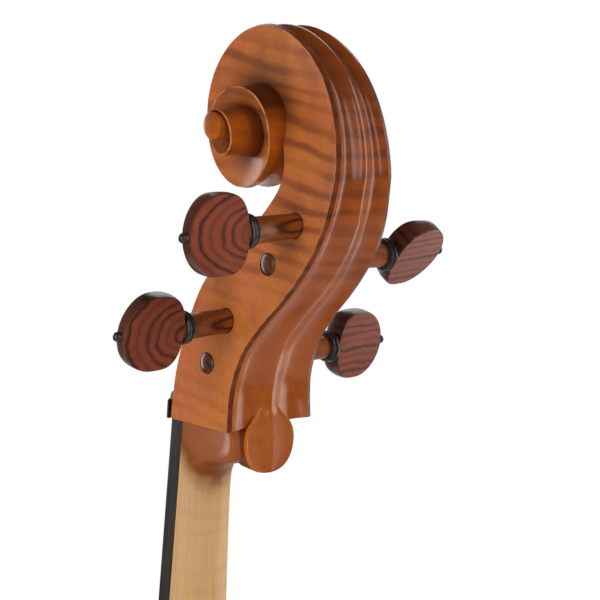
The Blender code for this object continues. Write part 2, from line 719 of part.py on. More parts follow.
def make_blocks(lining_rooms):
    low, high = GAP, RIB_DEPTH - GAP
    cut = CORNER_TRIM + RIB_THICKNESS
    lower = trimmed(curve_points(LOWER_BOUT, RIB_STEPS), 0, cut)
    centre = trimmed(curve_points(WAIST, RIB_STEPS), cut, cut)
    upper = trimmed(curve_points(UPPER_BOUT, RIB_STEPS), cut, 0)
    corners = {
        "lower": (last_part(inset(lower, INNER)), first_part(inset(centre, INNER))),
        "upper": (last_part(inset(centre, INNER)), first_part(inset(upper, INNER))),
    }
    for place, (before, after) in corners.items():
        for side, label in ((-1, "bass"), (1, "treble")):
            name = f"corner_block_{place}_{label}"
            outline = [(point.x * side, point.y) for point in before + after]
            block = add_object(name, prism(name, outline, low, high, upright), "bare_spruce", BODY)
            for room in lining_rooms:
                boolean(block, room)
    lower_end = inset(curve_points(LOWER_BOUT, RIB_STEPS), INNER)
    upper_end = inset(curve_points(UPPER_BOUT, RIB_STEPS), INNER)
    for name, near, flat in (
        ("block_lower", end_part(lower_end), INNER + BLOCK_DEPTH),
        ("block_upper", end_part(upper_end[::-1]), BODY_LENGTH - INNER - BLOCK_DEPTH),
    ):
        curved = [(point.x, point.y) for point in on_side(near[1:], -1)[::-1] + near]
        outline = curved + [(curved[-1][0], flat), (curved[0][0], flat)]
        block = add_object(name, prism(name, outline, low, high, upright), "bare_spruce", BODY)
        if name == "block_lower":
            boolean(block, ENDPIN_ROOM)
            for room in lining_rooms:
                boolean(block, room)
        else:
            boolean(block, HEEL_ROOM)


def last_part(points):
    return trimmed(points, length_of(points) - CORNER_BLOCK_REACH, 0)


def end_part(points):
    return trimmed(points, 0, length_of(points) - BLOCK_HALF_WIDTH)


def first_part(points):
    return trimmed(points, 0, length_of(points) - CORNER_BLOCK_REACH)


def make_bass_bar():
    low, high = BAR_ENDS
    end_depth, middle_depth = BAR_DEPTHS
    left, right = BAR_MIDDLE - BAR_HALF, BAR_MIDDLE + BAR_HALF
    steps = 14
    sections = []
    for k in range(steps + 1):
        z = low + (high - low) * k / steps
        depth = end_depth + (middle_depth - end_depth) * math.sin(math.pi * k / steps)
        left_top = front_inside(left, z) + BAR_ROOM
        right_top = front_inside(right, z) + BAR_ROOM
        bottom = max(left_top, right_top) + depth
        sections.append([(left, left_top, z), (right, right_top, z), (right, bottom, z), (left, bottom, z)])
    add_object("bass_bar", loft("bass_bar", sections), "bare_spruce", BODY)


def make_sound_post():
    sides = 20
    ends = []
    for surface, room in ((front_inside, POST_ROOM), (back_inside, -POST_ROOM)):
        loop = []
        for k in range(sides):
            angle = 2 * math.pi * k / sides
            x, z = POST_PLACE + POST_RADIUS * Vector((math.cos(angle), math.sin(angle)))
            loop.append((x, surface(x, z) + room, z))
        ends.append(loop)
    add_object("sound_post", loft("sound_post", ends), "bare_spruce", BODY)


# Head and neck

def spiral_point(angle, radius):
    turn = math.radians(angle)
    y, z = EYE_CENTRE
    return Vector((y + radius * math.cos(turn), z + radius * math.sin(turn))) * MM


def head_rows():
    """Each row runs over the cheek from the outer edge to the inner edge, then up the next turn's wall.

    A row is the outer edge place and half width, the inner edge place and half width, and the half width
    at the top of the wall.
    """
    rows = []
    for share in PEGBOX_ROWS:
        back, front = along(BACK_EDGE, share) * MM, along(FRONT_EDGE, share) * MM
        rows.append((back.to_2d(), back.z, front.to_2d(), front.z, front.z))
    for angle in range(SPIRAL_START, SPIRAL_END + 1, SPIRAL_STEP):
        radius, half, foot = along(SPIRAL, angle)
        next_radius, next_half, _ = along(SPIRAL, angle + FULL_TURN)
        outer, inner = spiral_point(angle, radius), spiral_point(angle, next_radius)
        rows.append((outer, half * MM, inner, foot * MM, next_half * MM))
    return rows


def cheek_point(row, column, side):
    outer, half, inner, foot, top = row
    share = min(column / CHEEK_STEPS, 1)
    x = half + (foot - half) * share ** CHEEK_DISH
    if column > CHEEK_STEPS:
        x = top
    spot = outer.lerp(inner, share)
    return Vector((side * x, spot.x, spot.y))


def rim_sections(path):
    """Lines across the rim: from one edge over its chamfer and flute to the spine, and out again.

    Each step of the path is a place, the half width, where the flute starts, and how deep it is carved.
    """
    sections = []
    for k, (spot, half, flute_start, carved) in enumerate(path):
        travel = path[min(k + 1, len(path) - 1)][0] - path[max(k - 1, 0)][0]
        outward = Vector((travel.y, -travel.x)).normalized()
        points = [(half, 0.0)]
        for share in FLUTE_COLUMNS:
            rise = (CHAMFER_RISE - FLUTE_DEPTH * math.sin(math.pi * share ** FLUTE_LEAN)) * carved
            points.append((flute_start * (1 - share), rise))
        points += [(-x, rise) for x, rise in reversed(points[:-1])]
        sections.append([Vector((x, *(spot + outward * rise))) for x, rise in points])
    return sections


def back_rim(rows):
    """The rim up the back and over the scroll to the throat, where it narrows to the foot of the wall."""
    pegbox = len(PEGBOX_ROWS)
    foot = rows[pegbox][3]
    start, end = FLUTE_FADE
    path = []
    for k, row in enumerate(rows[:pegbox + FULL_TURN // SPIRAL_STEP + 1]):
        angle = SPIRAL_START + (k - pegbox) * SPIRAL_STEP
        carved = 1 - min(max((angle - start) / (end - start), 0), 1)
        flute_start = (row[1] - CHAMFER_WIDTH) * carved + foot * (1 - carved)
        path.append((row[0], row[1], flute_start, carved))
    return rim_sections(path)


def front_rim(rows):
    """The plain front edge from the throat down to the nut."""
    pegbox = len(PEGBOX_ROWS)
    sections = rim_sections([(row[2], row[3], row[3], 0.0) for row in reversed(rows[:pegbox + 1])])
    return [section[1:-1] for section in sections]


def head_mesh():
    rows = head_rows()
    pegbox, scroll = rows[:len(PEGBOX_ROWS) + 1], rows[len(PEGBOX_ROWS):]
    bm = bmesh.new()
    for side in (1, -1):
        mapped_grid(bm, len(pegbox) - 1, CHEEK_STEPS, lambda r, c, s=side: cheek_point(pegbox[r], c, s))
        mapped_grid(bm, len(scroll) - 1, CHEEK_STEPS + 1, lambda r, c, s=side: cheek_point(scroll[r], c, s))
    for rim in (back_rim(rows), front_rim(rows)):
        mapped_grid(bm, len(rim) - 1, len(rim[0]) - 1, lambda r, c, lines=rim: lines[r][c])
    close_holes(bm)
    return mesh_of(bm, "neck_and_scroll")


def neck_section(place):
    """A flat under the fingerboard and a round back, deeper and fuller where it flows into the chin."""
    z = place * MM
    half = fingerboard_half(z)
    depth, swell = along(NECK_DEPTH, place) * MM, along(NECK_SWELL, place) * MM
    rounding = along(NECK_ROUNDING, place)
    steps = 12
    loop = []
    for k in range(steps + 1):
        angle = math.pi * k / steps
        x = (half + swell * math.sin(angle)) * math.cos(angle)
        loop.append(Vector((x, depth * math.sin(angle) ** rounding, z)))
    return loop + [Vector((-half, -NECK_SPARE, z)), Vector((half, -NECK_SPARE, z))]


def fingerboard_half(z):
    share = (NUT_PLACE - z) / FINGERBOARD_LENGTH
    narrow, wide = FINGERBOARD_HALF
    return narrow + (wide - narrow) * share


def chin_outline():
    steps = 12
    round_end = []
    for k in range(steps + 1):
        angle = math.pi * k / steps
        round_end.append((CHIN_HALF * math.cos(angle), CHIN_BOTTOM + CHIN_DROP * (1 - math.sin(angle))))
    top_half = CHIN_HALF * CHIN_NARROWING
    return round_end + [(-top_half, CHIN_TOP), (top_half, CHIN_TOP)]


def heel_sections():
    sections = []
    low = BODY_LENGTH - HEEL_SINK
    steps = 6
    for depth in HEEL_DEPTHS:
        half = along(HEEL_HALF, depth) * MM
        top = BODY_LENGTH + along(HEEL_TOP, depth) * MM
        y = depth * MM
        shoulder = top - half * HEEL_SHOULDER
        loop = [Vector((half, y, low))]
        for k in range(steps + 1):
            angle = math.pi * k / steps
            loop.append(Vector((half * math.cos(angle), y, shoulder + (top - shoulder) * math.sin(angle))))
        loop.append(Vector((-half, y, low)))
        sections.append(loop)
    return sections


def make_heel_room():
    """Room for the heel in the front, the upper block and the linings."""
    low, high = BODY_LENGTH - HEEL_SINK - GAP, BODY_LENGTH + HEEL_ROOM_ABOVE
    in_front = THROUGH_FRONT[0] / MM
    sections = []
    for depth in [in_front] + HEEL_DEPTHS:
        half = along(HEEL_HALF, depth) * MM + GAP
        corners = ((half, low), (half, high), (-half, high), (-half, low))
        sections.append([Vector((x, depth * MM, z)) for x, z in corners])
    return add_cutter("heel_room", loft("heel_room", sections), BODY)


def make_hollow():
    (low_z, low_half), (high_z, high_half) = HOLLOW_HALF

    def half(z):
        return (low_half + (high_half - low_half) * (z - low_z) / (high_z - low_z)) * MM

    sections = [[Vector((side * half(z), y * MM, z * MM)) for y, z in HOLLOW] for side in (1, -1)]
    return add_cutter("pegbox_hollow", loft("pegbox_hollow", sections), NECK)


def chin_place(u, v, height):
    """The chin's flat front inside the neck, and its back, which slopes in as it goes up."""
    back = CHIN_BACK - CHIN_SLOPE * (v - CHIN_BOTTOM)
    return Vector((u, back if height else CHIN_FRONT, v))


def make_neck_and_scroll():
    neck = add_object("neck_and_scroll", head_mesh(), "varnished_maple", NECK)
    chin = prism("chin", chin_outline(), 0, 1, chin_place)
    boolean(neck, add_cutter("chin", chin, NECK), "UNION")
    stick = loft("neck_stick", [neck_section(place) for place in NECK_SECTIONS])
    boolean(neck, add_cutter("neck_stick", stick, NECK), "UNION")
    heel = loft("heel", heel_sections())
    boolean(neck, add_cutter("heel", heel, BODY), "UNION")
    wide, deep, long = NECK_CLEARING
    above_glue = box("above_glue", (-wide, -deep, -long), (wide, FINGERBOARD_SINK, NUT_PLACE + NUT_SEAT_LAP))
    boolean(neck, add_cutter("above_glue", above_glue, NECK))
    nut_seat = box(
        "nut_seat", (-wide, -deep, NUT_PLACE - GAP), (wide, NUT_SINK + GAP, NUT_BACK + GAP)
    )
    boolean(neck, add_cutter("nut_seat", nut_seat, NECK))
    boolean(neck, make_hollow())
    for name, (side, seat, lean, _) in PEGS.items():
        low, high = -PEG_HOLE_REACH, PEG_HOLE_REACH
        wall = [shaft_radius(place) + PEG_CLEARANCE for place in (low, high)]
        mesh = cone(f"peg_hole_{name}", *wall, low, high)
        mesh.transform(peg_turn(side, lean, 0).to_matrix().to_4x4())
        place = (0, seat[0] * MM, seat[1] * MM)
        boolean(neck, add_cutter(f"peg_hole_{name}", mesh, NECK, place))


def make_fingerboard():
    steps = 8
    sections = []
    for share in (0, 0.25, 0.5, 0.75, 1):
        z = NUT_PLACE - GAP - FINGERBOARD_LENGTH * share
        half = fingerboard_half(z)
        loop = [Vector((half, FINGERBOARD_SINK - GAP, z))]
        for k in range(steps + 1):
            x = half * (1 - 2 * k / steps)
            loop.append(Vector((x, -fingerboard_top(x, half), z)))
        loop.append(Vector((-half, FINGERBOARD_SINK - GAP, z)))
        sections.append(loop)
    add_object("fingerboard", loft("fingerboard", sections), "ebony", NECK)


def fingerboard_top(x, half):
    """Height of the playing surface in front of the neck's origin at a place across."""
    edge, here = (math.sqrt(FINGERBOARD_RADIUS ** 2 - place * place) for place in (half, x))
    return FINGERBOARD_SIDE + here - edge


def make_nut():
    """An ebony block as wide as the pegbox, low at the cheeks and high under the strings."""
    half_loop = [(share * NUT_HALF, -height * MM) for share, height in NUT_PROFILE]
    outline = half_loop + [(-x, y) for x, y in reversed(half_loop[:-1])]
    outline = [(NUT_HALF, NUT_SINK)] + outline + [(-NUT_HALF, NUT_SINK)]
    mesh = prism("nut", outline, NUT_PLACE, NUT_BACK, level)
    add_object("nut", mesh, "ebony", NECK)


# Pegs: modelled along local Z with the head at the top, then laid across the pegbox

def shaft_radius(place):
    return PEG_SHAFT_THICK - (PEG_COLLAR[0] - place) * PEG_TAPER


def peg_turn(side, lean, turn):
    """Rotation that lays a peg's axis across the pegbox, head to its side, leaning to the back."""
    axis = Vector((side, lean, 0)).normalized()
    return axis.to_track_quat("Z", "Y") @ Matrix.Rotation(math.radians(turn), 3, "Z").to_quaternion()


def tip_place(seat):
    """End of a peg's shaft, a little outside the cheek, whose half width narrows with height."""
    _, low_z, low_half = BACK_EDGE[0][1]
    _, high_z, high_half = BACK_EDGE[-1][1]
    cheek = low_half + (high_half - low_half) * (seat[1] - low_z) / (high_z - low_z)
    return -cheek * MM - PEG_TIP_PROUD


def peg_profile(seat):
    """Head from the far end, the part under the collar, the shaft and its domed tip."""
    collar_low, collar_high = PEG_COLLAR
    head_low, head_high = collar_high + GAP, PEG_HEAD_END
    middle = (head_low + head_high) / 2
    reach = (head_high - head_low) / 2
    under_collar = shaft_radius(collar_low)
    steps = 8
    profile = [(0, head_high)]
    for k in range(1, steps):
        angle = math.pi / 2 - math.pi * k / steps
        radius = PEG_HEAD_RADIUS * math.cos(angle) ** PEG_HEAD_ROUNDING
        profile.append((radius, middle + reach * math.sin(angle)))
    profile += [(PEG_COLLAR_RADIUS, head_low), (under_collar, head_low), (under_collar, collar_low)]
    tip = tip_place(seat)
    end = shaft_radius(tip)
    profile += [(end, tip + PEG_TIP_DOME), (end * 0.7, tip + PEG_TIP_DOME / 4), (0, tip)]
    return profile


def collar_profile():
    """A sleeve of three beads on the part of the peg between shaft and head."""
    low, high = PEG_COLLAR
    bore = shaft_radius(low) + GAP
    groove = PEG_COLLAR_RADIUS - PEG_COLLAR_GROOVE
    bead = (high - low) / PEG_COLLAR_RINGS
    outside = []
    for k in range(PEG_COLLAR_RINGS):
        top = high - bead * k
        outside += [(groove, top), (PEG_COLLAR_RADIUS, top - bead / 2)]
    return outside + [(groove, low), (bore, low), (bore, high)]


def pip_profile():
    """The ball let on to the end of a peg's head."""
    steps = 6
    middle = PEG_HEAD_END + GAP + PEG_PIP_RADIUS
    angles = [math.pi * k / steps for k in range(steps + 1)]
    return [(PEG_PIP_RADIUS * math.sin(turn), middle + PEG_PIP_RADIUS * math.cos(turn)) for turn in angles]


def peg_flat(face):
    """What is cut away beside one face of a peg's head, which thins toward its far end."""
    ends = (PEG_COLLAR[1] + 2 * GAP, PEG_HEAD_END)
    slope = (PEG_HEAD_HALF_THICKNESS[1] - PEG_HEAD_HALF_THICKNESS[0]) / (ends[1] - ends[0])
    sections = []
    for z in (ends[0], ends[1] + PEG_FLAT_SPARE):
        near = PEG_HEAD_HALF_THICKNESS[0] + slope * (z - ends[0])
        corners = ((near, -1), (PEG_FLAT_CUT, -1), (PEG_FLAT_CUT, 1), (near, 1))
        sections.append([Vector((face * x, y * PEG_FLAT_CUT, z)) for x, y in corners])
    return loft("peg_flat", sections)


def make_pegs():
    for name, (side, seat, lean, turn) in PEGS.items():
        place = Vector((0, seat[0] * MM, seat[1] * MM))
        rotation = peg_turn(side, lean, turn).to_euler()
        peg = turned(f"peg_{name}", peg_profile(seat), "rosewood", NECK, place, rotation, steps=20)
        for face in (-1, 1):
            boolean(peg, add_cutter(f"peg_flat_{name}_{face}", peg_flat(face), NECK, place, rotation))
        turned(f"peg_collar_{name}", collar_profile(), "ebony", NECK, place, rotation, steps=16, ring=True)
        turned(f"peg_pip_{name}", pip_profile(), "ebony", NECK, place, rotation, steps=10)


# Strings

def around_peg(name, across, radius, angle):
    """A point round a peg's axis at a place across the pegbox; the angle is from the back, going up."""
    side, seat, lean, _ = PEGS[name]
    y, z = seat[0] * MM + lean * side * across, seat[1] * MM
    return Vector((across, y + radius * math.cos(angle), z + radius * math.sin(angle)))


def wound_radius(name, across):
    side = PEGS[name][0]
    return shaft_radius(across * side) + GAP + STRINGS[name][0]


def leaving_angle(name, start, across):
    """Angle round the peg where a string from the nut meets the winding on its front."""
    centre = around_peg(name, across, 0, 0)
    reach = (centre - start).yz
    spread = math.acos(wound_radius(name, across) / reach.length)
    return math.atan2(-reach.y, -reach.x) - spread


def over_peg(name, start, end, across, room):
    """The point where a run from start to end is lifted over a peg, or None where it passes clear."""
    centre = around_peg(name, across, 0, 0).yz
    travel = (end - start).yz.normalized()
    front = Vector((-travel.y, travel.x))
    reach = shaft_radius(across * PEGS[name][0]) + room
    share = (centre - start.yz).dot(front)
    if share + reach < 0:
        return None
    y, z = centre + front * reach
    return Vector((across, y, z))


def string_points(name):
    """From the last wrap on the peg, over the nut, the bridge and the tailpiece, in the body's frame."""
    radius, nut_x, bridge_x, tail_x = STRINGS[name]
    across = WRAP_PLACE[name]
    over_nut = Vector((nut_x, -nut_height(nut_x) - radius - GAP, NUT_PLACE))
    nut_edge = Vector((nut_x, over_nut.y + GAP, NUT_BACK))
    angle = leaving_angle(name, nut_edge, across)
    steps = 12
    start = angle - 2 * math.pi * WRAP_TURN
    turns = [start + (angle - start) * k / steps for k in range(steps + 1)]
    wrap = [around_peg(name, across, wound_radius(name, across), turn) for turn in turns]
    end = wrap[-1]
    lifted = []
    for other in ("g", "a", "c"):
        if PEGS[other][1][1] < PEGS[name][1][1]:
            share = (PEGS[other][1][1] * MM - nut_edge.z) / (end.z - nut_edge.z)
            x = nut_x + (across - nut_x) * share
            point = over_peg(other, nut_edge, end, x, radius + 2 * GAP)
            if point:
                lifted.append(point)
    in_neck = wrap + lifted + [nut_edge, over_nut]
    points = [NECK_TO_BODY @ point for point in in_neck]
    points.append(Vector((bridge_x, -bridge_top(bridge_x) - radius - GAP, BRIDGE_PLACE)))
    crown = tail_crown(tail_x, 0) + radius
    for place, room in STRING_END:
        points.append(TAIL_TO_BODY @ Vector((tail_x, -crown - room, place)))
    return points


def nut_height(x):
    keys = [(share, height * MM) for share, height in reversed(NUT_PROFILE)]
    return along(keys, abs(x) / NUT_HALF)


def least_gap(points, radius):
    """Smallest clear distance between turns of a wire, measured on its points."""
    skip = WINDING_POINTS // 3
    return min(
        (points[i] - points[j]).length
        for i in range(len(points)) for j in range(i + skip, len(points))
    ) - 2 * radius


def make_strings():
    for name, (radius, *_) in STRINGS.items():
        tube(f"string_{name}", string_points(name), radius, "string_steel", BODY, resolution=1)
        side = PEGS[name][0]
        pitch = 2 * radius + WINDING_GAP
        start = WRAP_PLACE[name] + side * pitch
        count = WINDING_LOOPS * WINDING_POINTS
        points = []
        for k in range(count + 1):
            across = start + side * pitch * k / WINDING_POINTS
            angle = 2 * math.pi * k / WINDING_POINTS
            points.append(around_peg(name, across, wound_radius(name, across), angle))
        tube(f"winding_{name}", points, radius, "string_steel", NECK, resolution=1)
        gap = least_gap(points, radius) / MM
        print(f"winding_{name}: least gap {gap:.2f} mm over {WINDING_LOOPS} loops")


# Bridge, tailpiece and fine tuners

def bridge_top(x):
    """Height of the bridge's upper edge in front of the ribs at a place across."""
    return BRIDGE_TOP - (BRIDGE_CURVE - math.sqrt(BRIDGE_CURVE ** 2 - x * x))


def make_bridge():
    crown = -front_outside(0, BRIDGE_PLACE)
    half = [(x * MM, crown + h * MM) for x, h in BRIDGE_OUTLINE]
    top = [(x, bridge_top(x)) for x in BRIDGE_TOP_PLACES]
    right = half + top
    inside = [(x * MM, crown + h * MM) for x, h in BRIDGE_ARCH]
    under = [(-x, h) for x, h in reversed(inside)] + inside[1:]
    outline = right + [(0, bridge_top(0))] + [(-x, h) for x, h in reversed(right)] + under
    foot_level = min(h for _, h in outline)
    full = BRIDGE_TOP - foot_level
    base, tip = BRIDGE_THICKNESS

    def place(u, v, height):
        thickness = base + (tip - base) * (v - foot_level) / full
        return Vector((u, -v, BRIDGE_PLACE + height * thickness))

    bridge = add_object("bridge", prism("bridge", outline, -0.5, 0.5, place), "bridge_maple", BODY)
    for label, ((x, h), radius) in BRIDGE_HOLES.items():
        mesh = cone(f"bridge_{label}", radius * MM, radius * MM, -BRIDGE_DEEP, BRIDGE_DEEP, sides=16)
        place_of = (x * MM, -crown - h * MM, BRIDGE_PLACE)
        boolean(bridge, add_cutter(f"bridge_{label}", mesh, BODY, place_of))
    boolean(bridge, add_cutter("bridge_feet", bridge_seat(), BODY))


def bridge_seat():
    """The front's arched surface under the bridge, as the top of a solid."""
    rows, columns = 2, 12
    reach, tall = BRIDGE_SEAT

    def surface(row, column):
        x = reach * (2 * column / columns - 1)
        z = BRIDGE_PLACE + tall * (2 * row / rows - 1)
        return Vector((x, front_outside(x, z) - GAP, z))

    bm = bmesh.new()
    mapped_grid(bm, rows, columns, surface)
    pushed = bmesh.ops.extrude_face_region(bm, geom=bm.faces[:])["geom"]
    for item in pushed:
        if isinstance(item, bmesh.types.BMVert):
            item.co.y = BRIDGE_DEEP
    return mesh_of(bm, "bridge_seat")


def tail_half(place):
    return along(TAILPIECE_HALF, place / MM) * MM


def tail_crown(x, place):
    crown = along(TAILPIECE_CROWN, place / MM) * MM
    share = min(abs(x) / tail_half(place), 1)
    return crown * (1 - share * share)


def make_tailpiece():
    steps = 8
    sections = []
    for key, _ in TAILPIECE_HALF:
        place = key * MM
        half = tail_half(place)
        across = [half * (1 - 2 * k / steps) for k in range(steps + 1)]
        top = [Vector((x, -tail_crown(x, place), place)) for x in across]
        sections.append(top + [Vector((x, TAILPIECE_SIDE, place)) for x in (-half, half)])
    tailpiece = add_object("tailpiece", loft("tailpiece", sections), "ebony", TAIL)
    near, far = TUNER_SLOT
    half, deep = TUNER_SLOT_HALF, TUNER_CUT
    for name, (_, _, _, x) in STRINGS.items():
        slot = box(f"tuner_slot_{name}", (x - half, -deep, -far), (x + half, deep, -near))
        boolean(tailpiece, add_cutter(f"tuner_slot_{name}", slot, TAIL))
        hole = cone(f"tuner_hole_{name}", half, half, -deep, deep, sides=16)
        place = (x, 0, -TUNER_SCREW_PLACE)
        boolean(tailpiece, add_cutter(f"tuner_hole_{name}", hole, TAIL, place, (math.pi / 2, 0, 0)))
    room = TAIL_CORD_RADIUS + 2 * GAP
    for side, label in ((-1, "bass"), (1, "treble")):
        low, high = -2 * TAIL_CORD_SINK, TAIL_CORD_SINK + GAP
        hole = cone(f"tail_cord_hole_{label}", room, room, low, high, sides=12)
        place = (side * TAIL_CORD_SPREAD, 0, -TAILPIECE_LENGTH)
        boolean(tailpiece, add_cutter(f"tail_cord_hole_{label}", hole, TAIL, place))


def lever_outline(crown):
    """Lever seen from the side about its pivot: the hook above the crown, the tail under the screw."""
    low = crown + TUNER_PIVOT_DEPTH + TUNER_HOOK_ROOM
    high = low + TUNER_HOOK_HEIGHT
    near, far, heel = TUNER_HOOK_REACH
    hook = [(near, low), (far, low), (far, high), (heel, high)]
    return hook + [(down * MM, height * MM) for down, height in TUNER_LEVER_TAIL]


def sideways(u, v, height):
    """An outline seen from the side, pushed across."""
    return Vector((height, v, u))


def tuner_screw_profile(x):
    head_low = tail_crown(abs(x) - TUNER_HEAD_RADIUS, -TUNER_SCREW_PLACE) + TUNER_HEAD_ROOM
    head_high = head_low + TUNER_HEAD_HEIGHT
    rim, edge = TUNER_HEAD_RADIUS, TUNER_HEAD_EDGE
    end = -TAILPIECE_SIDE - TUNER_SCREW_PROUD
    return [
        (0, head_high), (rim - edge, head_high), (rim, head_high - edge), (rim, head_low + edge),
        (rim - edge, head_low), (TUNER_SHANK_RADIUS, head_low), (TUNER_SHANK_RADIUS, end), (0, end),
    ]


def make_tuners():
    for name, (_, _, _, x) in STRINGS.items():
        outline = [(-down, -height) for down, height in lever_outline(tail_crown(x, -TUNER_PIVOT_PLACE))]
        mesh = prism(f"tuner_lever_{name}", outline, -TUNER_LEVER_HALF, TUNER_LEVER_HALF, sideways)
        pivot = (x, TUNER_PIVOT_DEPTH, -TUNER_PIVOT_PLACE)
        add_object(f"tuner_lever_{name}", mesh, "bright_steel", TAIL, pivot)
        place = (x, 0, -TUNER_SCREW_PLACE)
        profile, to_front = tuner_screw_profile(x), (math.pi / 2, 0, 0)
        turned(f"tuner_screw_{name}", profile, "bright_steel", TAIL, place, to_front, steps=12)


def make_saddle():
    rise = SADDLE_TOP - EDGE_THICKNESS
    steps = 6
    outline = [(SADDLE_HALF, -GAP)]
    for k in range(steps + 1):
        angle = math.pi * k / steps
        outline.append((SADDLE_HALF * math.cos(angle), -EDGE_THICKNESS - rise * math.sin(angle)))
    outline.append((-SADDLE_HALF, -GAP))
    mesh = prism("saddle", outline, -SADDLE_PROUD, SADDLE_LENGTH, level)
    add_object("saddle", mesh, "ebony", BODY)


def make_tail_cord():
    """A cord from the tailpiece over the saddle and round the endpin's collar."""
    room = TAIL_CORD_RADIUS + GAP
    spread, level = TAIL_CORD_SPREAD, TAIL_CORD_LEVEL
    collar = ENDPIN_COLLAR_RADIUS + room
    down = [
        TAIL_TO_BODY @ Vector((spread, 0, TAIL_CORD_SINK - TAILPIECE_LENGTH)),
        Vector((spread, -SADDLE_TOP - room, SADDLE_LENGTH * 0.7)),
        Vector((spread + 0.5 * MM, -SADDLE_TOP - room, 0)),
        Vector((spread + 1.5 * MM, -SADDLE_TOP + 1 * MM, level)),
        Vector((collar * 0.8, ENDPIN_DEPTH - collar * 1.3, level)),
    ]
    steps = 12
    start, end = TAIL_CORD_ARC
    turn = []
    for k in range(steps + 1):
        angle = start + (end - start) * k / steps
        turn.append(Vector((collar * math.cos(angle), ENDPIN_DEPTH + collar * math.sin(angle), level)))
    up = [Vector((-point.x, point.y, point.z)) for point in reversed(down)]
    tube("tail_cord", down + turn + up, TAIL_CORD_RADIUS, "cord", BODY)


# Endpin

def make_endpin():
    place = (0, ENDPIN_DEPTH, 0)
    plug = turned("endpin_plug", endpin_plug_profile(), "ebony", BODY, place, ring=True)
    hole = cone("thumbscrew_hole", THUMBSCREW_HOLE, THUMBSCREW_HOLE, 0, ENDPIN_SHANK_TOP, sides=16)
    screw_place = (0, ENDPIN_DEPTH, THUMBSCREW_PLACE)
    toward_back = (-math.pi / 2, 0, 0)
    boolean(plug, add_cutter("thumbscrew_hole", hole, BODY, screw_place, toward_back))
    screw = [(radius * MM, reach * MM) for radius, reach in THUMBSCREW_PROFILE]
    shank, end = screw[-1][0], ENDPIN_ROD_RADIUS + 2 * GAP
    screw += [(shank, end), (0, end)]
    turned("endpin_thumbscrew", screw, "bright_steel", BODY, screw_place, toward_back, steps=16)
    edge = ENDPIN_ROD_RADIUS - 1 * MM
    rod = [
        (0, ENDPIN_ROD_TOP), (edge, ENDPIN_ROD_TOP), (ENDPIN_ROD_RADIUS, ENDPIN_ROD_TOP - 1 * MM),
        (ENDPIN_ROD_RADIUS, ENDPIN_ROD_BOTTOM), (0, ENDPIN_ROD_BOTTOM),
    ]
    turned("endpin_rod", rod, "bright_steel", BODY, place)
    tip = [(radius * MM, ENDPIN_TIP_BOTTOM + height * MM) for radius, height in TIP_PROFILE]
    bore, seat = ENDPIN_ROD_RADIUS + GAP, ENDPIN_ROD_BOTTOM - GAP
    tip += [(0, seat), (bore, seat), (bore, tip[0][1])]
    turned("endpin_tip", tip, "rubber", BODY, place, steps=20, ring=True)


def endpin_plug_profile():
    """A tapered shank in the lower block, a flange on the rib, a groove for the cord and a neck."""
    shank, collar, neck = ENDPIN_SHANK_RADIUS, ENDPIN_COLLAR_RADIUS, ENDPIN_NECK_RADIUS
    flange = collar + ENDPIN_FLANGE
    rib_face = OVERHANG - GAP
    bore = ENDPIN_ROD_RADIUS + GAP
    return [
        (shank - 1 * MM, ENDPIN_SHANK_TOP), (shank, rib_face), (flange, rib_face), (flange, 0.6 * MM),
        (collar, -1.2 * MM), (collar, -5.4 * MM), (collar + 2 * MM, -7 * MM), (collar + 1 * MM, -10 * MM),
        (neck, -12 * MM), (neck, ENDPIN_PLUG_BOTTOM), (bore, ENDPIN_PLUG_BOTTOM), (bore, ENDPIN_SHANK_TOP),
    ]


def make_endpin_room():
    wall = ENDPIN_SHANK_RADIUS + GAP
    mesh = cone("endpin_room", wall, wall, *ENDPIN_ROOM_ENDS)
    return add_cutter("endpin_room", mesh, BODY, (0, ENDPIN_DEPTH, 0))


# Assembly

clear_scene()
PARTS = make_collection("cello")
CUTTERS = make_collection("cutters")
MATERIALS = make_materials()

NECK_TO_BODY = Matrix.Translation((
    0,
    -EDGE_THICKNESS - OVERSTAND + (NECK_LENGTH - NUT_PLACE) * math.sin(NECK_ANGLE),
    BODY_LENGTH + (NECK_LENGTH - NUT_PLACE) * math.cos(NECK_ANGLE),
)) @ Matrix.Rotation(-NECK_ANGLE, 4, "X")
SADDLE_CREST = Vector((0, -SADDLE_TOP - TAIL_CORD_RADIUS, 0))
BRIDGE_CREST = Vector((0, -BRIDGE_TOP, BRIDGE_PLACE))
AFTER_BRIDGE = (SADDLE_CREST - BRIDGE_CREST).normalized() * AFTERLENGTH
TAIL_START = BRIDGE_CREST + AFTER_BRIDGE + Vector((0, TAILPIECE_DROP, 0))
TAIL_LINE = SADDLE_CREST - TAIL_START
TAIL_ANGLE = math.atan2(TAIL_LINE.y, -TAIL_LINE.z)
TAIL_TO_BODY = Matrix.Translation(TAIL_START) @ Matrix.Rotation(TAIL_ANGLE, 4, "X")

BODY = make_empty("body_frame", location=-(NECK_TO_BODY @ HANGER_PLACE))
NECK = make_empty("neck_frame", BODY, NECK_TO_BODY.to_translation(), NECK_TO_BODY.to_euler())
TAIL = make_empty("tail_frame", BODY, TAIL_TO_BODY.to_translation(), TAIL_TO_BODY.to_euler())
HEEL_ROOM = make_heel_room()
ENDPIN_ROOM = make_endpin_room()

make_front()
make_back()
make_ribs()
make_blocks(make_linings())
make_bass_bar()
make_sound_post()
make_neck_and_scroll()
make_fingerboard()
make_nut()
make_pegs()
make_strings()
make_bridge()
make_tailpiece()
make_tuners()
make_saddle()
make_tail_cord()
make_endpin()
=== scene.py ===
"""Looks of the cello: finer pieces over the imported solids, their finishes, the studio and the camera.

Local places are in mm. Neck places have y to the back from just in front of the glue face and z up;
body places have y to the back from the ribs' front edge and z up from the lower end.
"""

import math
from collections import namedtuple

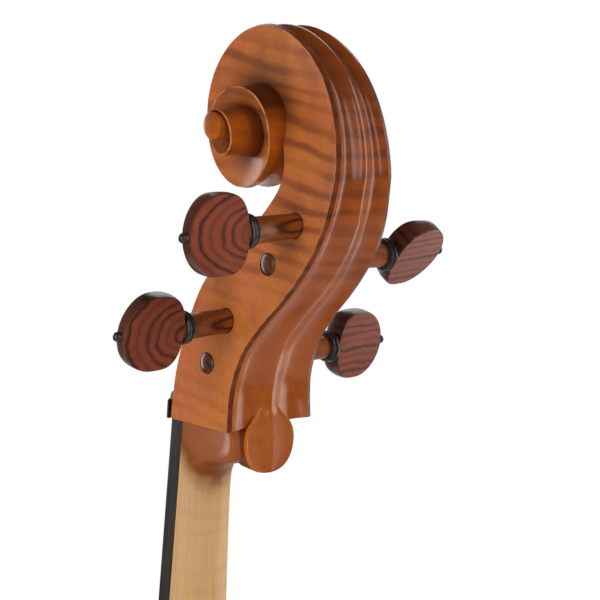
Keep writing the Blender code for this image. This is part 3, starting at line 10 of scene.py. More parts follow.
import bmesh
import bpy
from mathutils import Matrix, Vector
from mathutils.geometry import interpolate_bezier


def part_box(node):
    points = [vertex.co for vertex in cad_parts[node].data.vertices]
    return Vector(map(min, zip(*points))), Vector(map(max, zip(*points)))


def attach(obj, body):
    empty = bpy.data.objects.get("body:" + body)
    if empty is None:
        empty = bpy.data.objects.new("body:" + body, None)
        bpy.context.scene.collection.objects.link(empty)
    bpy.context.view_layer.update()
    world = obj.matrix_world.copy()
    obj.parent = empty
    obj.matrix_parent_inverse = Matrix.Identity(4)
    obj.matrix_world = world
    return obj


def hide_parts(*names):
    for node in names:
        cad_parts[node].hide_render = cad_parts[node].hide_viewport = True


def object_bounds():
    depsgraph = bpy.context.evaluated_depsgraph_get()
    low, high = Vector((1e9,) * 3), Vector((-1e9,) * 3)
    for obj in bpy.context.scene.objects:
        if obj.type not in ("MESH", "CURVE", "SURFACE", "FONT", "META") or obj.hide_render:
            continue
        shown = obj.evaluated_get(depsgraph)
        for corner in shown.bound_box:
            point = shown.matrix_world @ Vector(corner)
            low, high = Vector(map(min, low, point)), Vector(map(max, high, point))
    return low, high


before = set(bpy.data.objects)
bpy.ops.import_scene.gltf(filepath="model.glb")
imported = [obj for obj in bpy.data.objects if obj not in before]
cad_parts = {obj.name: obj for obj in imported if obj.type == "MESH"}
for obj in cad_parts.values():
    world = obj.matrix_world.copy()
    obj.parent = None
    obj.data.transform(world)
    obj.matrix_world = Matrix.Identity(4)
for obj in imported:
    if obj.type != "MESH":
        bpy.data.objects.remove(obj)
CAD_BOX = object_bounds()

MM = 0.001
WELD = 1e-3
GAP = 0.3
FULL_TURN = 360
EASE_SEGMENTS = 3
# Angle in degrees from which edges are kept crisp, and the most of a run that a bend takes up
CREASE = 30
BEND_SHARE = 0.45
# Name of the UV layer
LAY = "UVMap"
CUT, JOIN = "DIFFERENCE", "UNION"

# Sound box
BODY_LENGTH = 755
RIB_DEPTH = 118
RIB_THICKNESS = 1.8
RIB_STEPS = 40
OVERHANG = 4
EDGE_THICKNESS = 4.5
FRONT_RISE = 22
BACK_RISE = 21
EDGE_FLAT = 9
ARCH_END_SHARE = 0.42
ARCH_END_POWER = 1.3
NECK_ROOM = 30
BUTTON_RADIUS = 12
BUTTON_HEIGHT = 10
BUTTON_ROOT = 30
BUTTON_STEPS = 24
BUTTON_EASE = 0.8
# Half outline of the front and back, x across and z up from the lower end: knot, two handles, knot
LOWER_BOUT = [
    ((0, 0), (120, 0), (220, 58), (220, 150)),
    ((220, 150), (220, 215), (176, 262), (194, 284)),
]
WAIST = [
    ((189, 293), (146, 297), (115, 340), (115, 408)),
    ((115, 408), (115, 462), (132, 494), (157, 498)),
]
UPPER_BOUT = [
    ((161, 507), (147, 530), (172, 572), (172, 618)),
    ((172, 618), (172, 705), (95, 755), (0, 755)),
]
# Half width of the arched part at heights up the body, with the corners left flat
ARCH_HALF_WIDTH = [
    (0, 60), (60, 178), (150, 207), (240, 186), (330, 128), (408, 104),
    (470, 116), (550, 148), (618, 159), (690, 138), (755, 60),
]
OUTLINE_STEPS = 26
# Ends of the line on the plates' middle that lines from the edge run to
PLATE_MIDDLE = (130, 630)
EDGE_ROUND_STEPS = 6
EDGE_ROUNDING = 1.8
# Distances in from the edge: the raised border, the inlaid line's three strips and the channel
BORDER_COLUMNS = [2.4, 3.4, 3.9, 4.9, 5.4, 6.6, 8.5, 11, 15]
INLAY_DARK = (3.4, 4.9)
INLAY_PALE = 3.9
PLATE_COLUMNS = 18
INSIDE_COLUMNS = 10
CHANNEL_DEPTH = 0.7
CHANNEL_PLACE = 7.5
CHANNEL_WIDTH = 3.0
# Sound holes: centre line from the upper eye to the lower eye with half widths, and the eyes
SOUND_HOLE_LINE = [
    ((56, 410), 2.0), ((57, 424), 2.0), ((64, 431), 2.6), ((71, 421), 3.4), ((73, 395), 4.2),
    ((75, 357), 4.4),
    ((77, 320), 4.2), ((80, 298), 3.4), ((86, 288), 2.6), ((92, 294), 2.0), ((92.5, 306), 2.0),
]
SOUND_HOLE_EYES = [((55, 409), 8.0), ((94, 305), 10.5)]
SOUND_HOLE_NICK = 3.0
SOUND_HOLE_STEPS = 8
# Ends of cuts through the front
THROUGH_FRONT = (-40, 5)

# Neck, fingerboard and nut
NECK_ANGLE = math.radians(9.8)
OVERSTAND = 21
NUT_PLACE = 7
NECK_LENGTH = 280
NECK_SPARE = 3
# Reach across, to the front and down of the cuts for fingerboard and nut, and how far they lap
NECK_CUT = (80, 120, 400)
NECK_CUT_LAP = 2
# Angle in degrees from which the neck's edges are kept crisp
NECK_CREASE = 24
FINGERBOARD_LENGTH = 580
FINGERBOARD_HALF = (16.2, 31.5)
FINGERBOARD_SIDE = 7.6
FINGERBOARD_SINK = 1.6
FINGERBOARD_RADIUS = 65
FINGERBOARD_GRID = (60, 24)
NUT_LENGTH = 10.4
NUT_BACK = NUT_PLACE + NUT_LENGTH
NUT_HALF = 27.6
NUT_SINK = 3.1
NUT_COLUMNS = 40
NUT_EASE = 0.7
# Width of a string's groove in string widths, and how far its cut runs out
NUT_GROOVE = 1.1
NUT_GROOVE_SPARE = 5
NUT_GROOVE_SIDES = 20
NUT_PROFILE = [(0.0, 10.8), (0.28, 10.6), (0.55, 9.6), (0.68, 6.8), (0.86, 1.0), (1.0, -2.0)]
# Depth of the neck's back at heights from the neck's origin
NECK_DEPTH = [
    (-278, 25), (-200, 20), (-120, 16.2), (-60, 14), (-40, 13.8), (-28, 14.6), (-22.5, 16.6), (-18.5, 20.3),
    (-15.5, 25), (-13, 31), (-11, 38), (-8.5, 45.5), (-5, 49.6), (0, 51), (5, 50.2), (10, 48.3), (14, 47.5),
]
# How round the neck's back is, and how far its sides swell under the pegbox
NECK_ROUNDING = [(-60, 1.0), (-28, 0.95), (-17, 0.75), (-11, 0.45), (-6, 0.22), (2, 0.13), (14, 0.12)]
NECK_SWELL = [(-28, 0), (-18, 1), (-12, 4), (-7, 9), (-2, 14), (14, 15)]
NECK_ENDS = (-278, 14)
# Rows lie closer together toward the pegbox
NECK_ROWS = 90
NECK_ROW_LEAN = 1.5
NECK_COLUMNS = 40
HEEL_SINK = 10
# Top of the heel above the body's upper edge at depths behind the ribs' front, and its half width
HEEL_TOP = [(-24, 62), (-4, 42), (14, 30), (40, 22.5), (75, 19.5), (118, 18.5)]
HEEL_HALF = [(-24, 22.8), (40, 17.5), (118, 11.6)]
HEEL_SHOULDER = 0.55
# Reach of the cut for the heel above the body, and the depths of its last rows
HEEL_ROOM = 80
HEEL_ROOM_DEPTHS = (-12, 0, 8)
HEEL_ROWS = 40
HEEL_COLUMNS = 28

# Scroll from the side: angle from the back in degrees, radius, half width, half width at the next wall's foot
EYE_CENTRE = (40.0, 164.5)
SPIRAL = [
    (-45, (79.0, 22.2, 16.5)), (0, (62.0, 17.2, 12.8)), (45, (52.9, 14.6, 11.4)),
    (90, (48.0, 13.2, 10.6)), (135, (41.2, 12.8, 10.4)), (180, (36.5, 12.9, 10.6)),
    (225, (34.0, 14.6, 11.6)), (270, (30.6, 17.6, 13.0)), (315, (25.8, 20.8, 14.6)),
    (360, (22.8, 23.8, 16.2)), (450, (18.8, 26.8, 18.6)), (540, (15.6, 29.4, 20.6)),
    (630, (14.4, 32.8, 23.0)), (720, (9.8, 36.8, 27.5)), (810, (7.8, 38.8, 34.5)),
    (855, (6.6, 39.6, 39.6)),
]
SPIRAL_START = -15
SPIRAL_END = 855
SPIRAL_STEP = 3
# Pegbox cheeks from the nut up to where the scroll starts: edge place and half width there
FRONT_EDGE = [
    (0.00, (6.2, 8.2, 28.2)), (0.10, (6.6, 21, 27.8)), (0.22, (7.6, 36, 27.0)),
    (0.36, (12.2, 58, 25.8)), (0.50, (21.5, 83, 24.0)), (0.64, (38.5, 103, 22.6)),
    (0.78, (57, 121, 21.2)), (0.84, (64.4, 130.8, 20.2)), (0.89, (67.6, 137.5, 19.0)),
    (0.94, (68.2, 145, 17.2)), (0.97, (66.4, 151.5, 15.6)), (1.00, (62.8, 158.4, 13.9)),
]
BACK_EDGE = [
    (0.00, (51.8, 12.8, 28.6)), (0.10, (50.8, 25, 28.0)), (0.22, (51.6, 38, 27.2)),
    (0.36, (57.2, 55.5, 26.2)), (0.50, (68.5, 71.5, 24.9)), (0.64, (80, 85, 23.9)),
    (0.78, (90, 98.6, 22.9)), (0.84, (95.6, 108.2, 22.2)), (0.89, (99.2, 116.5, 21.5)),
    (0.94, (102.5, 128, 20.4)), (1.00, (104.8, 147.1, 18.7)),
]
PEGBOX_STEPS = 64
CHEEK_COLUMNS = 14
CHEEK_DISH = 0.8
WALL_COLUMNS = 4
WALL_BEVEL = 0.5
# Its largest shares of the turn's radius and of the way to the next turn
WALL_BEVEL_SHARE = 0.09
WALL_BEVEL_REACH = 0.3
BEVEL_FADE = (225, 330)
# Width of the pale strip at the cheek's edge, worn and with a painted highlight, and its largest share of the
# cheek's width
EDGE_WEAR_SHINE_WIDTH = 0.4
EDGE_WEAR_SHINE_SHARE = 0.2
FOOT_FILLET = 1.3
# Its largest shares of the wall's height and of the cheek's width
FOOT_FILLET_SHARES = (0.3, 0.25)
RECESS_FADE = (-15, 35)
# Painted light and shade on the turns' walls: height where they are painted brightest, how far from it they are
# painted dark, and how dark
PAINTED_WALL_LIGHT = (160.5, 15, 1.0)
# How steeply the painted shade darkens over the cheek toward the recess, down the wall toward its foot, and
# away from the wall's painted bright height
PAINTED_SHADE_EASE = (2.6, 1.3, 1.5)
CHAMFER_WIDTH = 2.6
CHAMFER_RISE = 0.75
# Depth of the flutes at heights from the neck's origin, where they run out above the chin
FLUTE_DEPTH = [(12, 2.7), (22, 3.4), (34, 3.6), (46, 3.2), (60, 2.9)]
FLUTE_LEAN = 0.85
FLUTE_EASE = 1.15
FLUTE_COLUMNS = 16
# Angles over which the flutes run out into the throat, and the depth left from which it counts as wall
FLUTE_FADE = (225, 315)
FLUTE_RUN_OUT = 0.4
SPINE_HALF = 1.3
SPINE_RISE = 0.2
SPINE_COLUMNS = 3
EYE_INSET = 0.8
EYE_PROUD = 0.35
# A face with more corners than this, further out than this, is the end of an eye
EYE_CORNERS = 20
EYE_REACH = 30
CHIN_HALF = 17
CHIN_WIDEST = 5
CHIN_FULLNESS = 0.7
CHIN_BOTTOM = -12
CHIN_FRONT = 44
CHIN_ROUND_ROWS = 16
CHIN_UPPER_ROWS = 22
CHIN_COLUMNS = 24
CHIN_EDGE_COLUMNS = 4
# Half width of the tongue above its widest place, and the level of its ridge and of its edge
CHIN_SIDE = [(5, 17), (9, 16.4), (12.8, 14.6), (16, 11.6), (19.5, 8.4), (24, 5.4), (30, 3.4)]
CHIN_RIDGE = [(-12, 55.6), (-7, 55.8), (-2, 55.8), (5, 55.2), (12.8, 54.0), (20, 52.8), (30, 52.1)]
CHIN_LEVEL = [
    (-12, 54.8), (-7, 54.6), (-2, 54.2), (5, 53.5), (12.8, 52.2), (19.5, 50.9), (24, 49.9), (30, 48.6),
]
CHIN_PEAK = 2.4
CHIN_HOLLOW = 0.45
CHIN_EDGE = 1.4
CHIN_EDGE_SHARE = 0.4
CHIN_EDGE_DROP = 1.2
CHIN_EDGE_EASE = 1.3
# Hollow of the pegbox seen from the side, and its half width at two heights
HOLLOW = [
    (-6, 20), (38, 24), (41.5, 38), (47.6, 55), (59.6, 71), (70, 86), (81, 98.5), (91.8, 112.5),
    (97.4, 124.5), (92, 133), (80, 136), (68, 131), (54, 126), (32, 112), (14, 94), (2, 66), (-6, 40),
]
HOLLOW_HALF = ((20, 19.2), (130, 12.8))
HOLLOW_STEPS = 4

# Pegs: side of the head, seat (y, z) on the middle plane, lean to the back, turn of the head in degrees
PEGS = {
    "c": (-1, (32.3, 43.6), 0.040, 4),
    "a": (1, (40.6, 67.8), 0.045, -6),
    "g": (-1, (68.4, 100.8), 0.050, 32),
    "d": (1, (79.8, 121.9), 0.100, 4),
}
PEG_COLLAR = (50.8, 56.3)
PEG_HEAD_END = 91.8
PEG_PIP_PLACE = 93.0
PEG_SHAFT_THICK = 6.4
PEG_TAPER = 1.0 / 60
PEG_TIP_PROUD = 1.6
PEG_TIP_DOME = 1.2
PEG_TIP_ROWS = 6
# How far the shaft runs on inside the head
PEG_ROOT = 2
PEG_HEAD_RADIUS = 19.0
# Half thickness of the head at the collar and at its far end
PEG_HEAD_HALF_THICKNESS = (6.2, 2.6)
PEG_HEAD_STEPS = 40
# How full the head's round is toward its far end and toward the collar
PEG_FULLNESS = (1.85, 4.0)
PEG_RIM_BEVEL = 0.4
PEG_STEPS = 96
PEG_WELD = 0.06
# Upper end, lower end and radius of each ring of the collar, and how deep the grooves stay over the bore
PEG_COLLAR_BEADS = [(56.3, 53.5, 8.6), (53.5, 51.6, 8.2), (51.6, 50.8, 7.3)]
PEG_COLLAR_WALL = 0.35
PEG_COLLAR_STEPS = 64
PEG_PIP_RADIUS = 2.4
PEG_PIP_ROWS = 20
PEG_PIP_STEPS = 32
PEG_CLEARANCE = 0.35
PEG_HOLE_REACH = 45

# Strings: radius, place across at the nut, bridge and tailpiece
STRINGS = {
    "c": (0.85, -11.6, -24.0, -20.4),
    "g": (0.70, -3.9, -8.2, -6.8),
    "d": (0.55, 3.9, 8.2, 6.8),
    "a": (0.45, 11.6, 24.0, 20.4),
}
STRING_END = [(-2, 1.5), (-9.5, 1.0)]
STRING_SIDES = 12
STRING_BEND = 2.5
WINDING_LOOPS = 3
WINDING_POINTS = 32
WINDING_GAP = 0.55
WRAP_TURN = 0.7
WRAP_STEPS = 28
WRAP_PLACE = {"c": -6.6, "g": -3.6, "d": 4.2, "a": 8.6}

# Bridge, tailpiece, saddle
BRIDGE_PLACE = 355
BRIDGE_TOP = 118.2
BRIDGE_CURVE = 62
# Thickness at the feet and at the top
BRIDGE_THICKNESS = (11, 3)
BRIDGE_EASE = 0.5
# Half outline of the bridge, x across and height above the front's crown
BRIDGE_OUTLINE = [
    (46, -12), (46, -3), (42, 3), (33, 8), (35, 20), (44, 27), (45, 33), (38, 36), (35, 44),
    (42, 52), (41, 60), (35, 66), (31, 84),
]
BRIDGE_ARCH = [(0, 36), (8, 34.5), (15, 29), (18, 20), (17, 8), (19, -1), (19, -12)]
BRIDGE_TOP_PLACES = (29, 25, 20, 15, 10, 5)
BRIDGE_EYES = [((-24, 48), 6.5), ((24, 48), 6.5)]
BRIDGE_HEART = ((0, 56), 9.0)
# Half outline of the heart in shares of its radius, from its point to the notch
BRIDGE_HEART_LINE = [(0, -1), (0.55, -0.55), (0.98, 0), (0.85, 0.6), (0.45, 0.85), (0, 0.5)]
EYE_SIDES = 40
# Reach across, reach along and columns of the surface that fits the feet to the front
BRIDGE_SEAT = (55, 12, 40)
# Reach of the cuts through the bridge
BRIDGE_DEEP = 20
AFTERLENGTH = 115
TAILPIECE_LENGTH = 232
TAILPIECE_DROP = 9
TAILPIECE_HALF = [
    (-232, 11), (-226, 13), (-205, 14.6), (-160, 17), (-120, 20), (-80, 23.6), (-40, 27.6),
    (-8, 31), (0, 28),
]
TAILPIECE_CROWN = [(-232, 5.5), (-60, 8), (0, 9.5)]
TAILPIECE_SIDE = 4.5
TAILPIECE_UNDERCUT = 0.97
TAILPIECE_HOLE_SIDES = 24
TAILPIECE_ROWS = 80
TAILPIECE_COLUMNS = 28
SADDLE_HALF = 19
SADDLE_TOP = 13
SADDLE_LENGTH = 8
SADDLE_PROUD = 0.4
SADDLE_STEPS = 32
SADDLE_EASE = 1.0
TAIL_CORD_RADIUS = 1.5
TAIL_CORD_SPREAD = 5.5
TAIL_CORD_SINK = 8
TAIL_CORD_LEVEL = -3.2
TAIL_CORD_ARC = (math.radians(-25), math.radians(205))
TAIL_CORD_STEPS = 30
# Share of the saddle's length where the cord comes onto it, and how far it dips below the saddle's edge
TAIL_CORD_LANDING = 0.7
TAIL_CORD_DIP = 1
# How far it spreads at that edge and below it, and where it nears the collar in radii of its loop
TAIL_CORD_FLARE = (0.5, 1.5)
TAIL_CORD_APPROACH = (0.8, 1.3)
TAIL_CORD_BEND = 2.5
TAIL_CORD_SIDES = 16

# Fine tuners in the tailpiece, distances down from its upper end
TUNER_SLOT = (10, 24)
TUNER_SLOT_HALF = 1.9
TUNER_LEVER_HALF = 1.4
TUNER_LEVER_EASE = 0.35
TUNER_SCREW_PLACE = 33
TUNER_HEAD_RADIUS = 3.9
TUNER_PIVOT_PLACE = 17
TUNER_PIVOT_DEPTH = 3.5
TUNER_CUT = 30
TUNER_SHANK_RADIUS = 1.5
TUNER_HEAD_HEIGHT = 8
# Outside of a screw's head: how far in from its rim, and how far below its top or above its foot
TUNER_HEAD_TOP = [(1.6, 0.3), (1.2, 0), (0.6, 0), (0, 0.6)]
TUNER_HEAD_FOOT = [(0, 3.2), (0.6, 2.4), (1.4, 1.8), (1.6, 0)]
# Ends of the knurled band above the foot and below the top
TUNER_KNURL = (3, 0.3)
TUNER_END_EASE = 0.4
TUNER_HEAD_ROOM = 0.8
TUNER_SCREW_PROUD = 0.7
TUNER_LEVER_TAIL = [(2.4, 2), (5, -2), (22, -2.4), (22, -5), (0, -4.6), (-3, -2)]
TUNER_HOOK_REACH = (-3, -6.2, 0.5)
TUNER_HOOK_ROOM = 1.0
TUNER_HOOK_HEIGHT = 3.5
KNURLS = 24
KNURL_DEPTH = 0.25
# How near the rim a corner is to be grooved
KNURL_BAND = 0.1
KNURL_STEPS = 96

# Endpin
ENDPIN_DEPTH = 59
ENDPIN_ROD_RADIUS = 5
ENDPIN_ROD_TOP = 440
ENDPIN_ROD_BOTTOM = -58
ENDPIN_TIP_BOTTOM = -74
ENDPIN_COLLAR_RADIUS = 14
ENDPIN_SHANK_RADIUS = 11.5
ENDPIN_SHANK_TOP = 46
ENDPIN_SHANK_TAPER = 1
ENDPIN_FLANGE = 3
ENDPIN_FLANGE_LOW = 1.2
ENDPIN_FLANGE_EASE = 0.6
ENDPIN_COLLAR_TOP = -1.2
# Beads round the collar and at the plug's mouth: upper end, lower end, how far they stand out
ENDPIN_COLLAR_BEAD = (-5.4, -10.4, 2)
ENDPIN_MOUTH_BEAD = (-21, -24, 0.8)
# Cove from the collar's bead to the neck: how far outside the neck, and height
ENDPIN_COVE = [(1.5, -11.2), (0, -13)]
ENDPIN_ROD_EASE = 1
ENDPIN_PLUG_STEPS = 72
ENDPIN_ROD_STEPS = 48
ENDPIN_TIP_STEPS = 64
ENDPIN_NECK_RADIUS = 9.5
ENDPIN_PLUG_BOTTOM = -25
THUMBSCREW_PLACE = -18
THUMBSCREW_HOLE = 2.4
THUMBSCREW_HOLE_SIDES = 32
THUMBSCREW_SHANK = 2.0
THUMBSCREW_KNURL = (19.5, 27.5)
THUMBSCREW_PROFILE = [(0, 28), (5.5, 28), (6.5, 27), (6.5, 20), (5.5, 19), (3.2, 18), (2.0, 12)]
TIP_PROFILE = [(6.8, 28), (8.6, 25), (9.4, 12), (8.6, 4), (6, 0), (0, 0)]
TIP_STEPS = 4

# Camera, from the photo: place and axes in the neck's frame, and focal length for a 36 mm sensor
CAMERA_PLACE = (482.25, 575.88, 231.87)
CAMERA_RIGHT = (-0.73385, 0.67575, 0.06944)
CAMERA_UP = (-0.09280, -0.20099, 0.97519)
CAMERA_BACK = (0.67294, 0.70920, 0.21021)
CAMERA_LENS = 87.19
CAMERA_SENSOR = 36
CAMERA_NEAR = 0.01


# Frames of the neck, body and tailpiece, from mm in the frame to metres in the model

BODY = Matrix.Translation((0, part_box("front")[1].y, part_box("back")[0].z)) @ Matrix.Diagonal((MM, MM, MM, 1))
NECK_REACH = NECK_LENGTH - NUT_PLACE
NECK_TO_BODY = Matrix.Translation((
    0,
    -EDGE_THICKNESS - OVERSTAND + NECK_REACH * math.sin(NECK_ANGLE),
    BODY_LENGTH + NECK_REACH * math.cos(NECK_ANGLE),
)) @ Matrix.Rotation(-NECK_ANGLE, 4, "X")
NECK = BODY @ NECK_TO_BODY
SADDLE_CREST = Vector((0, -SADDLE_TOP - TAIL_CORD_RADIUS, 0))
BRIDGE_CREST = Vector((0, -BRIDGE_TOP, BRIDGE_PLACE))
AFTER_BRIDGE = (SADDLE_CREST - BRIDGE_CREST).normalized() * AFTERLENGTH
TAIL_START = BRIDGE_CREST + AFTER_BRIDGE + Vector((0, TAILPIECE_DROP, 0))
TAIL_LINE = SADDLE_CREST - TAIL_START
TAIL_TO_BODY = Matrix.Translation(TAIL_START) @ Matrix.Rotation(math.atan2(TAIL_LINE.y, -TAIL_LINE.z), 4, "X")
TAIL = BODY @ TAIL_TO_BODY


# Shapes

def along(keys, place):
    """Value at a place on the smooth curve through (place, value) keys; a value is a number or a tuple."""
    places = [key[0] for key in keys]
    values = [Vector(key[1]) if isinstance(key[1], tuple) else key[1] for key in keys]
    if place <= places[0]:
        return values[0]
    if place >= places[-1]:
        return values[-1]
    last = len(keys) - 1

    def slope(k):
        low, high = max(k - 1, 0), min(k + 1, last)
        return (values[high] - values[low]) / (places[high] - places[low])

    k = next(i for i in range(last) if place <= places[i + 1])
    span = places[k + 1] - places[k]
    t = (place - places[k]) / span
    rise = 3 * t * t - 2 * t * t * t
    start = values[k] * (1 - rise) + values[k + 1] * rise
    return start + (slope(k) * (t * (1 - t) ** 2) - slope(k + 1) * (t * t * (1 - t))) * span


def fade(ends, value):
    """A soft rise from 0 to 1 between two ends."""
    low, high = ends
    t = min(max((value - low) / (high - low), 0), 1)
    return t * t * (3 - 2 * t)


def mapped_grid(bm, rows, columns, place, finish=None, lay=None):
    """A grid whose corner at (row, column) goes to place(row, column).

    finish gives each face's material index and lay each corner's UV, both from a row and a column.
    """
    corners = bmesh.ops.create_grid(bm, x_segments=columns, y_segments=rows, size=0.5)["verts"]
    spots = {}
    for corner in corners:
        spots[corner] = (round((corner.co.y + 0.5) * rows), round((corner.co.x + 0.5) * columns))
    layer = bm.loops.layers.uv.get(LAY) or bm.loops.layers.uv.new(LAY)
    for face in {face for corner in corners for face in corner.link_faces}:
        if finish:
            row = min(spots[corner][0] for corner in face.verts)
            column = min(spots[corner][1] for corner in face.verts)
            face.material_index = finish(row, column)
        if lay:
            for loop in face.loops:
                loop[layer].uv = lay(*spots[loop.vert])
    for corner, spot in spots.items():
        corner.co = place(*spot)


def even_steps(start, end, steps):
    """Even steps from start to end."""
    return [start + (end - start) * k / steps for k in range(steps + 1)]


def run_lengths(points):
    """Length along a line of points up to each of them."""
    lengths = [0.0]
    for a, b in zip(points, points[1:]):
        lengths.append(lengths[-1] + (b - a).length)
    return lengths


def moved(bm, vec, turn=0):
    """The shape turned about X by an angle and then moved."""
    bmesh.ops.rotate(bm, verts=bm.verts, matrix=Matrix.Rotation(turn, 3, "X"))
    bmesh.ops.translate(bm, verts=bm.verts, vec=vec)
    return bm


def painted(bm, finish):
    for face in bm.faces:
        face.material_index = finish
    return bm


def close_holes(bm):
    bmesh.ops.remove_doubles(bm, verts=bm.verts, dist=WELD)
    bmesh.ops.holes_fill(bm, edges=[edge for edge in bm.edges if edge.is_boundary], sides=0)


def add_object(name, bm, place, finishes=(), crease=CREASE):
    """The shape as an object with its place in its mesh, edges sharper than the crease kept crisp."""
    bmesh.ops.remove_doubles(bm, verts=bm.verts, dist=WELD)
    bmesh.ops.recalc_face_normals(bm, faces=bm.faces)
    bmesh.ops.transform(bm, matrix=place, verts=bm.verts)
    mesh = bpy.data.meshes.new(name)
    bm.to_mesh(mesh)
    bm.free()
    for finish in finishes:
        mesh.materials.append(finish)
    mesh.shade_smooth()
    mesh.set_sharp_from_angle(angle=math.radians(crease))
    made = bpy.data.objects.new(name, mesh)
    bpy.context.scene.collection.objects.link(made)
    return made


def carve(made, steps, crease=CREASE):
    """Joins or cuts other shapes in turn, given as operation, shape and place, and keeps plain mesh."""
    tools = []
    for operation, shape, place in steps:
        tool = add_object("carving_tool", shape, place)
        tools.append(tool)
        step = made.modifiers.new(tool.name, "BOOLEAN")
        step.operation = operation
        step.solver = "EXACT"
        step.object = tool
    bpy.context.view_layer.update()
    shaped = made.evaluated_get(bpy.context.evaluated_depsgraph_get())
    mesh = bpy.data.meshes.new_from_object(shaped)
    made.modifiers.clear()
    made.data = mesh
    mesh.shade_smooth()
    mesh.set_sharp_from_angle(angle=math.radians(crease))
    for tool in tools:
        bpy.data.objects.remove(tool)


def show(made, body, slot, *nodes):
    """Lets a piece ride on a body and stand for its nodes; the slot is not used."""
    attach(made, body)
    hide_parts(*nodes)


def turned(profile, steps, ring=False, bm=None):
    """A profile of (radius, height) swept about Z, on its own or added to a shape."""
    bm = bm or bmesh.new()
    line = [bm.verts.new((radius, 0, height)) for radius, height in profile]
    pairs = list(zip(line, line[1:]))
    if ring:
        pairs.append((line[-1], line[0]))
    edges = [bm.edges.new(pair) for pair in pairs]
    bmesh.ops.spin(
        bm, geom=line + edges, cent=(0, 0, 0), axis=(0, 0, 1), angle=2 * math.pi, steps=steps, use_merge=True
    )
    bmesh.ops.remove_doubles(bm, verts=bm.verts, dist=WELD)
    return bm


def cylinder(radius_low, radius_high, low, high, sides=48, finish=0):
    bm = bmesh.new()
    bmesh.ops.create_cone(
        bm, cap_ends=True, segments=sides, radius1=radius_low, radius2=radius_high, depth=high - low
    )
    return painted(moved(bm, (0, 0, (low + high) / 2)), finish)


def block(low, high, finish=0):
    bm = bmesh.new()
    bmesh.ops.create_cube(bm, size=1)
    bmesh.ops.scale(bm, verts=bm.verts, vec=[b - a for a, b in zip(low, high)])
    return painted(moved(bm, [(a + b) / 2 for a, b in zip(low, high)]), finish)


def pushed(outline, low, high, place, bevel=0.0, segments=2, finish=0):
    """A flat outline pushed from low to high, edges rounded; place puts (u, v, height) where it belongs."""
    bm = bmesh.new()
    ring = [bm.verts.new(place(u, v, low)) for u, v in outline]
    face = bm.faces.new(ring)
    grown = bmesh.ops.extrude_face_region(bm, geom=[face])["geom"]
    tops = [item for item in grown if isinstance(item, bmesh.types.BMVert)]
    bm.verts.index_update()
    spots = {tuple(round(c, 5) for c in place(u, v, low)): place(u, v, high) for u, v in outline}
    for corner in tops:
        corner.co = spots[tuple(round(c, 5) for c in corner.co)]
    if bevel:
        bmesh.ops.recalc_face_normals(bm, faces=bm.faces)
        rims = [edge for edge in bm.edges if any(len(side.verts) > 4 for side in edge.link_faces)]
        bmesh.ops.bevel(
            bm, geom=rims, offset=bevel, offset_type="OFFSET", segments=segments, profile=0.5,
            affect="EDGES", material=-1, clamp_overlap=True
        )
    return painted(bm, finish)


def level(u, v, height):
    return Vector((u, v, height))


def upright(u, v, height):
    return Vector((u, height, v))


def sideways(u, v, height):
    return Vector((height, v, u))


def rounded(points, bend):
    """A path whose corners are eased over a short stretch on either side."""
    eased = [points[0]]
    for before, corner, after in zip(points, points[1:], points[2:]):
        start = corner + (before - corner) * min(BEND_SHARE, bend / (before - corner).length)
        end = corner + (after - corner) * min(BEND_SHARE, bend / (after - corner).length)
        for k in range(4):
            t = k / 3
            eased.append(start * (1 - t) ** 2 + corner * (2 * t * (1 - t)) + end * t * t)
    return eased + [points[-1]]


def wire(points, radius, sides):
    """A round wire along points with closed ends; its UV runs along and around it in mm."""
    lengths = run_lengths(points)
    last = len(points) - 1
    travels = [(points[min(k + 1, last)] - points[max(k - 1, 0)]).normalized() for k in range(last + 1)]
    normal = travels[0].orthogonal().normalized()
    normals = [normal]
    for a, b in zip(travels, travels[1:]):
        normal = a.rotation_difference(b) @ normal
        normals.append((normal - b * normal.dot(b)).normalized())

    def place(row, column):
        angle = 2 * math.pi * column / sides
        side = travels[row].cross(normals[row])
        return points[row] + (normals[row] * math.cos(angle) + side * math.sin(angle)) * radius

    def lay(row, column):
        return (lengths[row], 2 * math.pi * radius * column / sides)

    bm = bmesh.new()
    mapped_grid(bm, last, sides, place, lay=lay)
    close_holes(bm)
    return bm


# Finishes

class Signal:
    """One output among a finish's nodes. Arithmetic on signals adds Math nodes."""

    def __init__(self, nodes, socket):
        self.nodes = nodes
        self.socket = socket

    def math(self, operation, *terms):
        return self.nodes.node("ShaderNodeMath", {"operation": operation}, dict(enumerate(terms)))

    def __add__(self, other):
        return self.math("ADD", self, other)

    def __radd__(self, other):
        return self.math("ADD", other, self)

    def __sub__(self, other):
        return self.math("SUBTRACT", self, other)

    def __rsub__(self, other):
        return self.math("SUBTRACT", other, self)

    def __mul__(self, other):
        return self.math("MULTIPLY", self, other)

    def __rmul__(self, other):
        return self.math("MULTIPLY", other, self)

    def __truediv__(self, other):
        return self.math("DIVIDE", self, other)

    def __pow__(self, other):
        return self.math("POWER", self, other)

    def __abs__(self):
        return self.math("ABSOLUTE", self)


